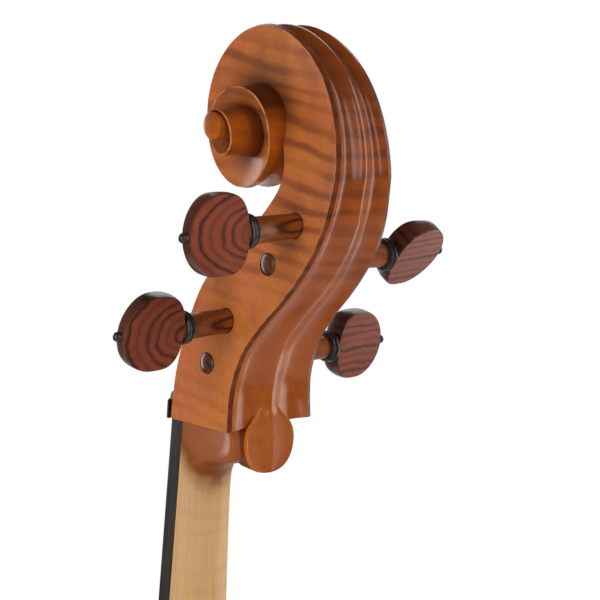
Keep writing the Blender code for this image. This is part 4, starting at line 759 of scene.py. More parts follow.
class Nodes:
    """A shader's node tree, added to node by node."""

    def __init__(self, tree):
        self.tree = tree

    def feed(self, socket, value):
        if isinstance(value, Signal):
            self.tree.links.new(value.socket, socket)
        else:
            socket.default_value = value

    def node(self, kind, settings=None, inputs=None, output=0):
        made = self.tree.nodes.new(kind)
        for key, value in (settings or {}).items():
            setattr(made, key, value)
        for key, value in (inputs or {}).items():
            self.feed(made.inputs[key], value)
        return Signal(self, made.outputs[output])

    def split(self, vector):
        first = self.node("ShaderNodeSeparateXYZ", inputs={"Vector": vector})
        return [Signal(self, socket) for socket in first.socket.node.outputs]

    def join(self, *parts):
        return self.node("ShaderNodeCombineXYZ", inputs=dict(enumerate(parts)))

    def noise(self, vector, scale, detail=2.0, roughness=0.5):
        return self.node("ShaderNodeTexNoise", inputs={
            "Vector": vector, "Scale": scale, "Detail": detail, "Roughness": roughness,
        })

    def step(self, value, low, high):
        """A soft rise from 0 to 1 between two values."""
        return self.node("ShaderNodeMapRange", {"interpolation_type": "SMOOTHSTEP"}, {
            "Value": value, "From Min": low, "From Max": high,
        })

    def wave(self, phase):
        """0 to 1 and back once for each whole number of the phase."""
        turn = phase * (2 * math.pi)
        return turn.math("SINE", turn) * 0.5 + 0.5

    def mix(self, share, first, second):
        return self.node("ShaderNodeMix", {"data_type": "RGBA"}, {
            0: share, 6: colour(first), 7: colour(second),
        }, output=2)


class Finish(Nodes):
    """A material; constants are set on its shader's own sockets."""

    def __init__(self, name, constants=None):
        self.material = bpy.data.materials.new(name)
        self.material.use_nodes = True
        super().__init__(self.material.node_tree)
        self.shader = self.tree.nodes["Principled BSDF"]
        for key, value in (constants or {}).items():
            self.set(key, value)

    def set(self, socket, value):
        self.feed(self.shader.inputs[socket], value)

    def spot(self, place, stretch=(1, 1, 1)):
        """Object coordinates as mm in a local frame, stretched."""
        inverse = place.inverted()
        coordinates = self.node("ShaderNodeTexCoord", output="Object")
        local = self.node("ShaderNodeMapping", inputs={
            "Vector": coordinates, "Location": inverse.to_translation(),
            "Rotation": inverse.to_euler(), "Scale": inverse.to_scale(),
        })
        return self.node("ShaderNodeVectorMath", {"operation": "MULTIPLY"}, {0: local, 1: stretch})

    def lay(self):
        return self.node("ShaderNodeUVMap", {"uv_map": LAY})

    def grain(self, place, stretch, detail, roughness=0.5):
        """Noise in mm of a local frame, stretched."""
        return self.noise(self.spot(place, stretch), 1.0, detail, roughness)

    def layers(self, base, *coats):
        """A colour with others laid over it in turn, each given as its share and its colour."""
        for share, tone in coats:
            base = self.mix(share, base, tone)
        return base

    def done(self, base, roughness, height=None, distance=0.0, strength=1.0):
        """The material with its colour, roughness and bump set; the bump's distance is in mm."""
        self.set("Base Color", base)
        self.set("Roughness", roughness)
        if height:
            self.set("Normal", self.node("ShaderNodeBump", inputs={
                "Height": height, "Distance": distance * MM, "Strength": strength,
            }))
        return self.material


def colour(value):
    return value if isinstance(value, Signal) else (*value, 1)


def varnish(coat, rough):
    """Constants of a clear coat over wood that shines little by itself."""
    return {"Coat Weight": coat, "Coat Roughness": rough, "Specular IOR Level": 0.06}


# Tones of the finishes, red, green and blue in linear light
NECK_LIGHT = (0.53, 0.325, 0.130)
NECK_GREY = (0.50, 0.305, 0.150)
NECK_CURL = (0.38, 0.21, 0.085)
NECK_STREAK = (0.36, 0.19, 0.08)
NECK_COVERED = (0.27, 0.070, 0.015)
NECK_COVERED_LOW = (0.19, 0.048, 0.009)
NECK_COVERED_CURL = (0.17, 0.041, 0.009)
BACK_LIGHT = (0.42, 0.130, 0.026)
BACK_CURL = (0.19, 0.048, 0.010)
BACK_CLOUD = (0.24, 0.060, 0.010)
BACK_JOINT = (0.08, 0.02, 0.008)
RIB_LIGHT = (0.40, 0.125, 0.025)
RIB_CURL = (0.18, 0.046, 0.010)
MAPLE_PORE = (0.16, 0.040, 0.009)
SPRUCE_LIGHT = (0.48, 0.175, 0.036)
SPRUCE_RING = (0.26, 0.075, 0.013)
SPRUCE_BROAD = (0.22, 0.060, 0.011)
SPRUCE_FIBRE = (0.24, 0.066, 0.012)
SPRUCE_CLOUD = (0.28, 0.076, 0.013)
SPRUCE_WORN = (0.56, 0.27, 0.08)
BRIDGE_LIGHT = (0.60, 0.37, 0.165)
BRIDGE_DARK = (0.46, 0.25, 0.095)
BRIDGE_FLECK = (0.30, 0.13, 0.045)
EBONY_DARK = (0.019, 0.017, 0.016)
EBONY_STREAK = (0.046, 0.034, 0.029)
EBONY_PORE = (0.045, 0.036, 0.032)
CORD_DARK = (0.008, 0.008, 0.009)
CORD_LIGHT = (0.05, 0.048, 0.047)
RUBBER = (0.014, 0.014, 0.014)
RUBBER_DUST = (0.05, 0.047, 0.044)
# Distance between the bands of curl
HEAD_CURL_PERIOD = 9.0
BACK_CURL_PERIOD = 12.0
RIB_CURL_PERIOD = 10.0
# Half width of the back's joint, and heights over which the neck's varnish runs out and changes tone
BACK_JOINT_WIDTH = (0.1, 0.45)
NECK_VARNISH_END = (-24, -2)
NECK_COVER_RISE = (-8, 14)
HEEL_VARNISH_END = (-262, -246)


def toned(shade, part):
    return tuple(channel * part for channel in shade)


def flames(finish, across, spot, period):
    """Dark bands of curled grain, of uneven width and strength, from 0 to 1."""
    sway = finish.noise(spot, 0.03, 2)
    shiver = finish.noise(spot, 0.2, 3)
    band = finish.step(finish.wave(across / period + sway * 2.2 + shiver * 0.4), 0.25, 1.0)
    patch = finish.step(finish.noise(spot, 0.035, 2), 0.36, 0.6)
    return band * (patch * 0.85 + 0.15)


def carved_maple(name, light, dark, bands=1.0, shade=0.0, crown=0.0, coat=0.5, gloss=0.1):
    """Varnished maple of the head: bands of curl, fine fibres, darker near the eye, painted shade in the
    recesses and at the crown.
    """
    finish = Finish(name, varnish(coat, gloss))
    spot = finish.spot(NECK)
    _, y, z = finish.split(spot)
    up, back = z - EYE_CENTRE[1], y - EYE_CENTRE[0]
    turn = 1 - finish.step((up * up + back * back) ** 0.5, *TURN_SHADE)
    grown = finish.step(z, *FLAME_RISE) * 0.7 + 0.3
    flame = flames(finish, z + y * 0.04, finish.spot(NECK, (0.3, 0.3, 1)), HEAD_CURL_PERIOD)
    pore = finish.step(finish.grain(NECK, (1.8, 1.8, 0.3), 3, 0.6), 0.5, 0.7)
    cloud = finish.noise(spot, 0.045, 3)
    gold = finish.step(finish.noise(spot, 0.025, 2), 0.42, 0.62)
    # Painted shade from the UV: deeper into the recess at the wall's foot, and on the walls away from their
    # painted bright height
    recess, _, _ = finish.split(finish.lay())
    wood = finish.layers(
        light, (gold, tuple(channel * part for channel, part in zip(light, GOLDEN))),
        (flame * grown * (bands * 0.78), dark), (pore * 0.42, dark), (turn * shade, dark),
        # Painted shade darkens the crown
        (finish.step(z, *CROWN_SHADE) * crown, PAINTED_SHADE_TONE), (finish.step(cloud, 0.48, 0.75) * 0.4, dark),
        (recess, PAINTED_SHADE_TONE)
    )
    return finish.done(wood, cloud * 0.2 + 0.4, pore * -0.5 + cloud * 0.5, 0.1, 0.2)


def plain_varnish(name, light, dark, coat):
    finish = Finish(name, varnish(coat, 0.15))
    cloud = finish.noise(finish.spot(NECK), 0.16, 4, 0.6)
    wood = finish.mix(finish.step(cloud, 0.35, 0.68), light, dark)
    return finish.done(wood, cloud * 0.2 + 0.4, cloud, 0.2, 0.2)


def neck_maple(name):
    """Varnish at the top that fades in a mottled line to bare, polished wood."""
    finish = Finish(name, varnish(0.14, 0.35))
    spot = finish.spot(NECK)
    _, y, z = finish.split(spot)
    flame = flames(finish, z + y * 0.15, finish.spot(NECK, (0.35, 0.35, 1)), HEAD_CURL_PERIOD)
    streak = finish.step(finish.grain(NECK, (0.9, 0.9, 0.02), 4, 0.6), 0.42, 0.7)
    band = finish.step(finish.grain(NECK, (0.16, 0.16, 0.006), 2), 0.4, 0.6)
    bare = finish.layers(
        NECK_LIGHT, (band, NECK_GREY), (flame * 0.2, NECK_CURL), (streak * 0.3, NECK_STREAK)
    )
    mottle = finish.noise(spot, 0.11, 4, 0.6)
    border = z + y.math("MINIMUM", y, 16.0) * 1.3 + mottle * 14 - 7
    upper = finish.step(border, *NECK_VARNISH_END)
    heel = 1 - finish.step(z + mottle * 20 - 10, *HEEL_VARNISH_END)
    cover = upper.math("MAXIMUM", upper, heel)
    covered = finish.layers(
        NECK_COVERED_LOW, (finish.step(border, *NECK_COVER_RISE), NECK_COVERED),
        (flame * 0.25, NECK_COVERED_CURL)
    )
    return finish.done(
        finish.mix(cover, bare, covered), 0.42 - cover * 0.1 + mottle * 0.1, streak, 0.1, 0.2
    )


def plate_maple(name):
    """The back: two matched halves of flamed maple, with the joint down the middle."""
    finish = Finish(name, varnish(0.6, 0.1))
    spot = finish.spot(BODY)
    x, y, z = finish.split(spot)
    mirrored = finish.join(abs(x) * 0.35, y, z)
    flame = flames(finish, z + abs(x) * 0.22, mirrored, BACK_CURL_PERIOD)
    pore = finish.step(finish.grain(BODY, (1.2, 1.2, 0.05), 3), 0.55, 0.72)
    cloud = finish.noise(spot, 0.012, 3)
    joint = 1 - finish.step(abs(x), *BACK_JOINT_WIDTH)
    wood = finish.layers(
        BACK_LIGHT, (flame, BACK_CURL), (pore * 0.3, MAPLE_PORE),
        (finish.step(cloud, 0.45, 0.75) * 0.4, BACK_CLOUD), (joint * 0.7, BACK_JOINT)
    )
    return finish.done(wood, cloud * 0.2 + 0.35, pore * -1.0, 0.1, 0.2)


def rib_maple(name):
    """Ribs, with the bands of curl across them."""
    finish = Finish(name, varnish(0.5, 0.12))
    length, depth, _ = finish.split(finish.lay())
    flame = flames(finish, length + depth * 0.12, finish.join(length, depth * 0.3, 0.0), RIB_CURL_PERIOD)
    fibre = finish.noise(finish.join(length * 0.06, depth * 1.3, 0.0), 1.0, 3)
    wood = finish.layers(RIB_LIGHT, (flame, RIB_CURL), (finish.step(fibre, 0.55, 0.72) * 0.3, MAPLE_PORE))
    return finish.done(wood, fibre * 0.2 + 0.35, fibre, 0.08, 0.2)


def plate_spruce(name):
    """The front: straight, close annual rings, wider toward the edges, under orange-brown varnish."""
    finish = Finish(name, varnish(0.5, 0.12))
    spot = finish.spot(BODY)
    x, _, z = finish.split(spot)
    drift = finish.grain(BODY, (0.02, 0.02, 0.004), 2)
    broad = finish.noise(finish.join(abs(x) * 0.16, 0.0, z * 0.003), 1.0, 3, 0.6)
    rings = finish.wave(abs(x) / (abs(x) * 0.0035 + 1.25) + drift * 3.0)
    fibre = finish.grain(BODY, (2.4, 2.4, 0.05), 3)
    cloud = finish.noise(spot, 0.011, 3)
    wear = finish.step(finish.noise(spot, 0.02, 4, 0.6), 0.62, 0.78)
    wood = finish.layers(
        SPRUCE_LIGHT, (rings ** 2.2, SPRUCE_RING), (finish.step(broad, 0.4, 0.68) * 0.55, SPRUCE_BROAD),
        (finish.step(fibre, 0.5, 0.75) * 0.35, SPRUCE_FIBRE),
        (finish.step(cloud, 0.45, 0.75) * 0.35, SPRUCE_CLOUD), (wear * 0.35, SPRUCE_WORN)
    )
    return finish.done(wood, cloud * 0.2 + 0.35, rings * 0.6 + fibre * 0.4, 0.08, 0.25)


def bare_wood(name, light, dark):
    finish = Finish(name)
    fibre = finish.grain(BODY, (0.9, 0.9, 0.04), 4)
    wood = finish.mix(finish.step(fibre, 0.35, 0.7), light, dark)
    return finish.done(wood, fibre * 0.2 + 0.5, fibre, 0.2, 0.3)


def bridge_maple(name):
    """Pale maple with the small dark flecks of wood cut on the quarter."""
    finish = Finish(name)
    fleck = finish.step(finish.grain(BODY, (0.35, 1.6, 1.6), 2), 0.6, 0.68)
    tone = finish.noise(finish.spot(BODY), 0.05, 3)
    wood = finish.layers(BRIDGE_LIGHT, (tone, BRIDGE_DARK), (fleck * 0.6, BRIDGE_FLECK))
    return finish.done(wood, tone * 0.15 + 0.42, fleck, 0.08, 0.2)


def ebony(name, place, gloss=0.4, relief=0.3):
    """Near-black wood with faint brown streaks and fine pores along the grain."""
    finish = Finish(name, {"Specular IOR Level": 0.28})
    fibre = finish.grain(place, (0.7, 0.7, 0.02), 4)
    pore = finish.step(finish.grain(place, (3.0, 3.0, 0.15), 2), 0.58, 0.7)
    wood = finish.layers(
        EBONY_DARK, (finish.step(fibre, 0.45, 0.75), EBONY_STREAK), (pore * 0.5, EBONY_PORE)
    )
    return finish.done(wood, pore * 0.15 + fibre * 0.15 + (gloss - 0.1), pore * -1.0, 0.06, relief)


def peg_rosewood(name, place, heart, stretch, period, shades, coat):
    """Rosewood of one peg: growth rings about a heart, drawn out along the peg, and fine dark fibres."""
    light, dark, line = shades
    finish = Finish(name, {"Coat Weight": coat, "Coat Roughness": 0.2, "Specular IOR Level": 0.12})
    spot = finish.spot(place)
    _, y, z = finish.split(spot)
    sway = finish.noise(finish.spot(place, (1, 1, stretch)), 0.06, 2)
    across = y - heart[0] + (sway - 0.5) * period * 1.3
    reach = (z - heart[1]) * stretch
    radius = (across * across + reach * reach) ** 0.5
    uneven = finish.noise(spot, 0.12, 3, 0.6)
    strong = finish.noise(spot, 0.05, 1) * 1.8 + 1.1
    broad = finish.wave(radius / period * 0.38) * 0.65 + 0.35
    ring = finish.wave(radius / period + uneven * 0.8) ** strong * broad
    fibre = finish.step(finish.grain(place, (1.4, 1.4, 0.09), 3), 0.45, 0.7)
    wood = finish.layers(light, (finish.noise(spot, 0.06, 2), dark), (fibre * 0.4, dark), (ring * 0.9, line))
    return finish.done(wood, fibre * 0.12 + 0.38, fibre * -0.5 - ring * 0.5, 0.05, 0.2)


def steel(name, tone, rough):
    finish = Finish(name, {"Metallic": 1.0})
    haze = finish.noise(finish.spot(BODY), 0.3, 3)
    scratch = finish.grain(BODY, (0.3, 4.0, 4.0), 2)
    return finish.done(finish.mix(haze, tone, toned(tone, 0.8)), scratch * 0.12 + haze * 0.1 + (rough - 0.1))


def wound_string(name, tone):
    """Flat wire wound close round the string."""
    finish = Finish(name, {"Metallic": 1.0})
    length, around, _ = finish.split(finish.lay())
    lap = finish.wave(length / 0.32 + around * 0.05)
    haze = finish.noise(finish.lay(), 0.05, 2)
    wire_tone = finish.mix(lap * 0.5 + haze * 0.3, tone, toned(tone, 0.55))
    return finish.done(wire_tone, haze * 0.15 + 0.22, lap, 0.05, 0.5)


def braided_cord(name):
    finish = Finish(name)
    length, around, _ = finish.split(finish.lay())
    strand = finish.wave(length * 0.45 + around * 0.32) * finish.wave(length * 0.45 - around * 0.32)
    return finish.done(finish.mix(strand, CORD_DARK, CORD_LIGHT), strand * 0.2 + 0.45, strand, 0.3, 0.6)


def foot_rubber(name):
    finish = Finish(name)
    spot = finish.spot(BODY)
    grain = finish.noise(spot, 0.9, 4, 0.7)
    dust = finish.step(finish.noise(spot, 0.12, 3), 0.5, 0.75)
    return finish.done(finish.mix(dust * 0.5, RUBBER, RUBBER_DUST), grain * 0.2 + 0.6, grain, 0.15, 0.4)


# Distances from the eye over which the scroll darkens, and heights over which painted shade darkens the crown
TURN_SHADE = (22, 40)
CROWN_SHADE = (130, 205)
# Heights over which the curl grows stronger, and how the golden patches differ from the rest
FLAME_RISE = (60, 130)
GOLDEN = (1.1, 1.18, 0.8)
CHEEK_LIGHT, CHEEK_DARK = (0.44, 0.124, 0.038), (0.17, 0.044, 0.016)
FLUTE_LIGHT, FLUTE_DARK = (0.31, 0.064, 0.007), (0.11, 0.021, 0.006)
TONGUE_LIGHT = (0.30, 0.069, 0.012)
WALL_LIGHT, WALL_DARK = (0.42, 0.088, 0.006), (0.18, 0.034, 0.004)
# Tone of the painted shade in the recesses and at the crown
PAINTED_SHADE_TONE = (0.07, 0.014, 0.003)
HEAD_FINISHES = [
    carved_maple("cheek_maple", CHEEK_LIGHT, CHEEK_DARK, shade=0.3, coat=0.25, gloss=0.22),
    plain_varnish("chamfer_varnish", (0.16, 0.033, 0.007), (0.075, 0.015, 0.004), 0.2),
    carved_maple("flute_maple", FLUTE_LIGHT, FLUTE_DARK, 0.75, crown=0.5, coat=0.48, gloss=0.2),
    carved_maple("wall_maple", WALL_LIGHT, WALL_DARK, bands=0.4),
    # A pale edge strip: worn, with a painted highlight
    plain_varnish("worn_highlit_edge", (0.50, 0.20, 0.08), (0.26, 0.075, 0.022), 0.15),
    carved_maple("tongue_maple", TONGUE_LIGHT, FLUTE_DARK, bands=0.5, coat=0.1, gloss=0.4),
    neck_maple("neck_maple"),
    plain_varnish("pegbox_inside", (0.07, 0.020, 0.007), (0.035, 0.010, 0.004), 0.1),
]
CHEEK, CHAMFER, FLUTE, WALL, WORN_HIGHLIT, TONGUE, STICK, INSIDE = range(len(HEAD_FINISHES))


# Head and neck

Row = namedtuple("Row", "outer half bevel inner foot top recess")


def on_spiral(angle, radius):
    turn = math.radians(angle)
    y, z = EYE_CENTRE
    return Vector((y + radius * math.cos(turn), z + radius * math.sin(turn)))


def wall_bevel(angle, radius, reach):
    """Size of the bevel at the top of the wall, which the outer rim doesn't have."""
    if angle >= SPIRAL_END:
        return 0.0
    return min(WALL_BEVEL, WALL_BEVEL_SHARE * radius, WALL_BEVEL_REACH * reach) * fade(BEVEL_FADE, angle)


def spiral_row(angle):
    radius, half, foot = along(SPIRAL, angle)
    next_radius, next_half, _ = along(SPIRAL, angle + FULL_TURN)
    after_radius = along(SPIRAL, angle + 2 * FULL_TURN)[0]
    bevel = wall_bevel(angle, radius, radius - next_radius)
    next_bevel = wall_bevel(angle + FULL_TURN, next_radius, next_radius - after_radius)
    outer, inner = on_spiral(angle, radius), on_spiral(angle, next_radius)
    return Row(outer, half, bevel, inner, foot, next_half - next_bevel, fade(RECESS_FADE, angle))


def head_rows():
    """Rows over the cheek from the outer edge to the inner edge, then up the next turn's wall."""
    rows = []
    for k in range(PEGBOX_STEPS):
        back, front = along(BACK_EDGE, k / PEGBOX_STEPS), along(FRONT_EDGE, k / PEGBOX_STEPS)
        rows.append(Row(back.to_2d(), back.z, 0.0, front.to_2d(), front.z, front.z, 0.0))
    return rows + [spiral_row(angle) for angle in range(SPIRAL_START, SPIRAL_END + 1, SPIRAL_STEP)]


FACE_END = CHEEK_COLUMNS + 2


def cheek_point(row, column, side):
    across = row.inner - row.outer
    reach = across.length
    # A pale strip at the edge, worn and with a painted highlight
    wear = min(EDGE_WEAR_SHINE_WIDTH, EDGE_WEAR_SHINE_SHARE * reach)
    start = row.bevel + wear
    if column == 0:
        inward = 0.0
    elif column == 1:
        inward = row.bevel
    else:
        inward = start + (reach - start) * min((column - 2) / CHEEK_COLUMNS, 1)
    face = (inward - row.bevel) / (reach - row.bevel) if reach > row.bevel else 1.0
    x = row.half - row.bevel if column == 0 else row.half + (row.foot - row.half) * face ** CHEEK_DISH
    if column >= FACE_END:
        climb = (column - FACE_END) / WALL_COLUMNS
        tall, wide = FOOT_FILLET_SHARES
        fillet = min(FOOT_FILLET, tall * (row.top - row.foot), wide * reach) * row.recess
        x = row.foot + (row.top - row.foot) * climb
        inward = reach - fillet * (1 - climb) ** 4
    spot = row.outer + across.normalized() * inward if reach else row.outer
    return Vector((side * x, spot.x, spot.y))


def painted_recess_shade(row, column):
    """Painted shade of a corner, as its UV: deeper into the recess at the wall's foot, and on the wall away
    from its painted bright height.
    """
    cheek_ease, wall_ease, painted_light_ease = PAINTED_SHADE_EASE
    if column <= FACE_END:
        return (row.recess * (max(column - 2, 0) / CHEEK_COLUMNS) ** cheek_ease, 0)
    # The wall is painted dark away from the height where it is painted brightest
    level, reach, dark = PAINTED_WALL_LIGHT
    aside = min(abs(row.inner.y - level) / reach, 1)
    foot = (1 - (column - FACE_END) / WALL_COLUMNS) ** wall_ease
    return (row.recess * max(foot, dark * aside ** painted_light_ease), 0)


def cheek_finish(_, column):
    # The edge and the wall's top bevel are worn and get a painted highlight
    if column <= 1:
        return WORN_HIGHLIT
    return WALL if column >= FACE_END else CHEEK


def rim_section(spot, outward, half, flute_start, carved):
    """A line across the rim: edge, chamfer, flute, spine, and the same out again."""
    points = []
    depth = along(FLUTE_DEPTH, spot.y)
    for k in range(WALL_COLUMNS):
        share = k / WALL_COLUMNS
        points.append((half + (flute_start - half) * share, CHAMFER_RISE * carved * share))
    spine = SPINE_HALF * carved
    for k in range(FLUTE_COLUMNS):
        share = k / FLUTE_COLUMNS
        sink = depth * math.sin(math.pi * share ** FLUTE_LEAN) ** FLUTE_EASE
        points.append((flute_start + (spine - flute_start) * share, (CHAMFER_RISE - sink) * carved))
    for k in range(SPINE_COLUMNS + 1):
        share = 1 - k / SPINE_COLUMNS
        points.append((spine * share, (CHAMFER_RISE + SPINE_RISE * (1 - share * share)) * carved))
    points += [(-x, rise) for x, rise in reversed(points[:-1])]
    return [Vector((x, *(spot + outward * rise))) for x, rise in points]


def rim_sections(path):
    """Lines across the rim along a path of place, half width, where the flute starts and how deep it is."""
    sections = []
    for k, (spot, half, flute_start, carved) in enumerate(path):
        travel = path[min(k + 1, len(path) - 1)][0] - path[max(k - 1, 0)][0]
        outward = Vector((travel.y, -travel.x)).normalized()
        sections.append(rim_section(spot, outward, half, flute_start, carved))
    return sections


def back_path(rows):
    """The rim up the back and over the scroll to the throat, where it narrows to the foot of the wall."""
    foot = rows[PEGBOX_STEPS].foot
    start, end = FLUTE_FADE
    path = []
    for k, row in enumerate(rows[:PEGBOX_STEPS + FULL_TURN // SPIRAL_STEP + 1]):
        angle = SPIRAL_START + (k - PEGBOX_STEPS) * SPIRAL_STEP
        carved = 1 - min(max((angle - start) / (end - start), 0), 1)
        half = row.half - row.bevel
        path.append((row.outer, half, (half - CHAMFER_WIDTH) * carved + foot * (1 - carved), carved))
    return path


def front_path(rows):
    """The plain front edge from the throat down to the nut."""
    return [(row.inner, row.foot, row.foot, 0.0) for row in reversed(rows[:PEGBOX_STEPS + 1])]


def head_shape():
    rows = head_rows()
    pegbox, scroll = rows[:PEGBOX_STEPS + 1], rows[PEGBOX_STEPS:]
    bm = bmesh.new()
    for side in (1, -1):
        mapped_grid(
            bm, len(pegbox) - 1, FACE_END, lambda r, c, s=side: cheek_point(pegbox[r], c, s), cheek_finish
        )
        mapped_grid(
            bm, len(scroll) - 1, FACE_END + WALL_COLUMNS,
            lambda r, c, s=side: cheek_point(scroll[r], c, s), cheek_finish,
            lambda r, c: painted_recess_shade(scroll[r], c)
        )
    path = back_path(rows)
    back = rim_sections(path)
    last = len(back[0]) - 1

    def back_finish(row, column):
        inward = min(column, last - 1 - column)
        if path[row][3] < FLUTE_RUN_OUT:
            return WALL
        return CHAMFER if inward < WALL_COLUMNS else FLUTE

    mapped_grid(bm, len(back) - 1, last, lambda r, c: back[r][c], back_finish)
    front = [section[WALL_COLUMNS:-WALL_COLUMNS] for section in rim_sections(front_path(rows))]
    mapped_grid(bm, len(front) - 1, len(front[0]) - 1, lambda r, c: front[r][c], lambda r, c: CHEEK)
    close_holes(bm)
    buttons = [
        face for face in bm.faces
        if len(face.verts) > EYE_CORNERS and abs(face.calc_center_median().x) > EYE_REACH
    ]
    bmesh.ops.recalc_face_normals(bm, faces=bm.faces)
    bmesh.ops.inset_region(bm, faces=buttons, thickness=EYE_INSET, depth=EYE_PROUD)
    return bm


def chin_shape():
    """The tongue below the shoulders: a ridge, two shallow hollows and a chamfered edge."""
    heights, halves = [], []
    for k in range(CHIN_ROUND_ROWS):
        turn = math.pi / 2 * k / CHIN_ROUND_ROWS
        heights.append(CHIN_WIDEST - (CHIN_WIDEST - CHIN_BOTTOM) * math.cos(turn))
        halves.append(CHIN_HALF * math.sin(turn) ** CHIN_FULLNESS)
    top = CHIN_SIDE[-1][0]
    for k in range(CHIN_UPPER_ROWS + 1):
        heights.append(CHIN_WIDEST + (top - CHIN_WIDEST) * k / CHIN_UPPER_ROWS)
        halves.append(along(CHIN_SIDE, heights[-1]))

    last = CHIN_COLUMNS + 2 * CHIN_EDGE_COLUMNS

    def place(row, column):
        z, half = heights[row], halves[row]
        edge = min(CHIN_EDGE, half * CHIN_EDGE_SHARE)
        side = 1 if column > last / 2 else -1
        out = CHIN_EDGE_COLUMNS - min(column, last - column)
        share = 2 * (column - CHIN_EDGE_COLUMNS) / CHIN_COLUMNS - 1
        x, drop = share * (half - edge), 0.0
        if out > 0:
            x = side * (half - edge + edge * out / CHIN_EDGE_COLUMNS)
            drop = CHIN_EDGE_DROP * (out / CHIN_EDGE_COLUMNS) ** CHIN_EDGE_EASE
        share = min(abs(share), 1)
        rim, ridge = along(CHIN_LEVEL, z), along(CHIN_RIDGE, z)
        y = rim + (ridge - rim) * (1 - share) ** CHIN_PEAK - CHIN_HOLLOW * math.sin(math.pi * share)
        return Vector((x, y - drop, z))

    def finish(_, column):
        inward = min(column, last - 1 - column) - CHIN_EDGE_COLUMNS
        # The line along the tongue's edge is worn and has a painted highlight
        if inward == -1:
            return WORN_HIGHLIT
        return TONGUE if inward >= 0 else WALL

    bm = bmesh.new()
    mapped_grid(bm, len(heights) - 1, last, place, finish)
    bmesh.ops.remove_doubles(bm, verts=bm.verts, dist=WELD)
    top = set(bm.faces)
    rim = [edge for edge in bm.edges if edge.is_boundary]
    grown = bmesh.ops.extrude_edge_only(bm, edges=rim)["geom"]
    for item in grown:
        if isinstance(item, bmesh.types.BMVert):
            item.co.y = CHIN_FRONT
    close_holes(bm)
    for face in set(bm.faces) - top:
        face.material_index = CHAMFER
    return bm


def fingerboard_half(z):
    narrow, wide = FINGERBOARD_HALF
    return narrow + (wide - narrow) * (NUT_PLACE - z) / FINGERBOARD_LENGTH


def fingerboard_top(x, half):
    edge, here = (math.sqrt(FINGERBOARD_RADIUS ** 2 - place * place) for place in (half, x))
    return FINGERBOARD_SIDE + here - edge


def ring_solid(rows, columns, place, finish=0, lay=None):
    """A closed solid whose grid wraps round on itself, with its ends capped."""
    bm = bmesh.new()
    mapped_grid(bm, rows, columns, place, lay=lay)
    close_holes(bm)
    return painted(bm, finish)


def neck_stick():
    low, high = NECK_ENDS
    around = NECK_COLUMNS + 3

    def place(row, column):
        share = row / NECK_ROWS
        z = high + (low - high) * share ** NECK_ROW_LEAN
        half, depth = fingerboard_half(z), along(NECK_DEPTH, z)
        rounding, swell = along(NECK_ROUNDING, z), along(NECK_SWELL, z)
        column %= around
        if column > NECK_COLUMNS:
            return Vector((-half if column == NECK_COLUMNS + 1 else half, -NECK_SPARE, z))
        angle = math.pi * column / NECK_COLUMNS
        x = (half + swell * math.sin(angle)) * math.cos(angle)
        return Vector((x, depth * abs(math.sin(angle)) ** rounding, z))

    return ring_solid(NECK_ROWS, around, place, STICK)


def heel_block():
    low = BODY_LENGTH - HEEL_SINK
    near, far = HEEL_TOP[0][0], RIB_DEPTH - GAP
    around = HEEL_COLUMNS + 3
    to_neck = NECK_TO_BODY.inverted()

    def place(row, column):
        depth = near + (far - near) * row / HEEL_ROWS
        half, top = along(HEEL_HALF, depth), BODY_LENGTH + along(HEEL_TOP, depth)
        shoulder = top - half * HEEL_SHOULDER
        column %= around
        if column > HEEL_COLUMNS:
            return to_neck @ Vector((-half if column == HEEL_COLUMNS + 1 else half, depth, low))
        angle = math.pi * column / HEEL_COLUMNS
        z = shoulder + (top - shoulder) * math.sin(angle)
        return to_neck @ Vector((half * math.cos(angle), depth, z))

    return ring_solid(HEEL_ROWS, around, place, STICK)


def hollow_shape():
    (low_z, low_half), (high_z, high_half) = HOLLOW_HALF
    keys = [(k, point) for k, point in enumerate(HOLLOW + HOLLOW[:1])]
    outline = [along(keys, k / HOLLOW_STEPS) for k in range(len(HOLLOW) * HOLLOW_STEPS)]

    def place(u, v, side):
        half = low_half + (high_half - low_half) * (v - low_z) / (high_z - low_z)
        return Vector((side * half, u, v))

    return pushed([tuple(point) for point in outline], -1, 1, place, finish=INSIDE)


def shaft_radius(place):
    return PEG_SHAFT_THICK - (PEG_COLLAR[0] - place) * PEG_TAPER


def peg_frame(name):
    """Frame along a peg's axis, its head at the top, turned as it stands in the photo."""
    side, seat, lean, turn = PEGS[name]
    axis = Vector((side, lean, 0)).normalized()
    laid = axis.to_track_quat("Z", "Y").to_matrix().to_4x4()
    return NECK @ Matrix.Translation((0, *seat)) @ laid @ Matrix.Rotation(math.radians(turn), 4, "Z")


def make_neck():
    neck = add_object("carved_neck_and_scroll", head_shape(), NECK, HEAD_FINISHES)
    wide, deep, low = NECK_CUT
    clearing = block((-wide, -deep, -low), (wide, FINGERBOARD_SINK, NUT_PLACE + NECK_CUT_LAP), STICK)
    nut_seat = block((-wide, -deep, NUT_PLACE - GAP), (wide, NUT_SINK + GAP, NUT_BACK + GAP), STICK)
    steps = [(JOIN, shape, NECK) for shape in (chin_shape(), neck_stick(), heel_block())]
    steps += [(CUT, shape, NECK) for shape in (clearing, nut_seat, hollow_shape())]
    for name in PEGS:
        wall = [shaft_radius(place) + PEG_CLEARANCE for place in (-PEG_HOLE_REACH, PEG_HOLE_REACH)]
        hole = cylinder(*wall, -PEG_HOLE_REACH, PEG_HOLE_REACH, finish=INSIDE)
        steps.append((CUT, hole, peg_frame(name)))
    carve(neck, steps, crease=NECK_CREASE)
    show(neck, "root", "varnished_maple", "neck_and_scroll")


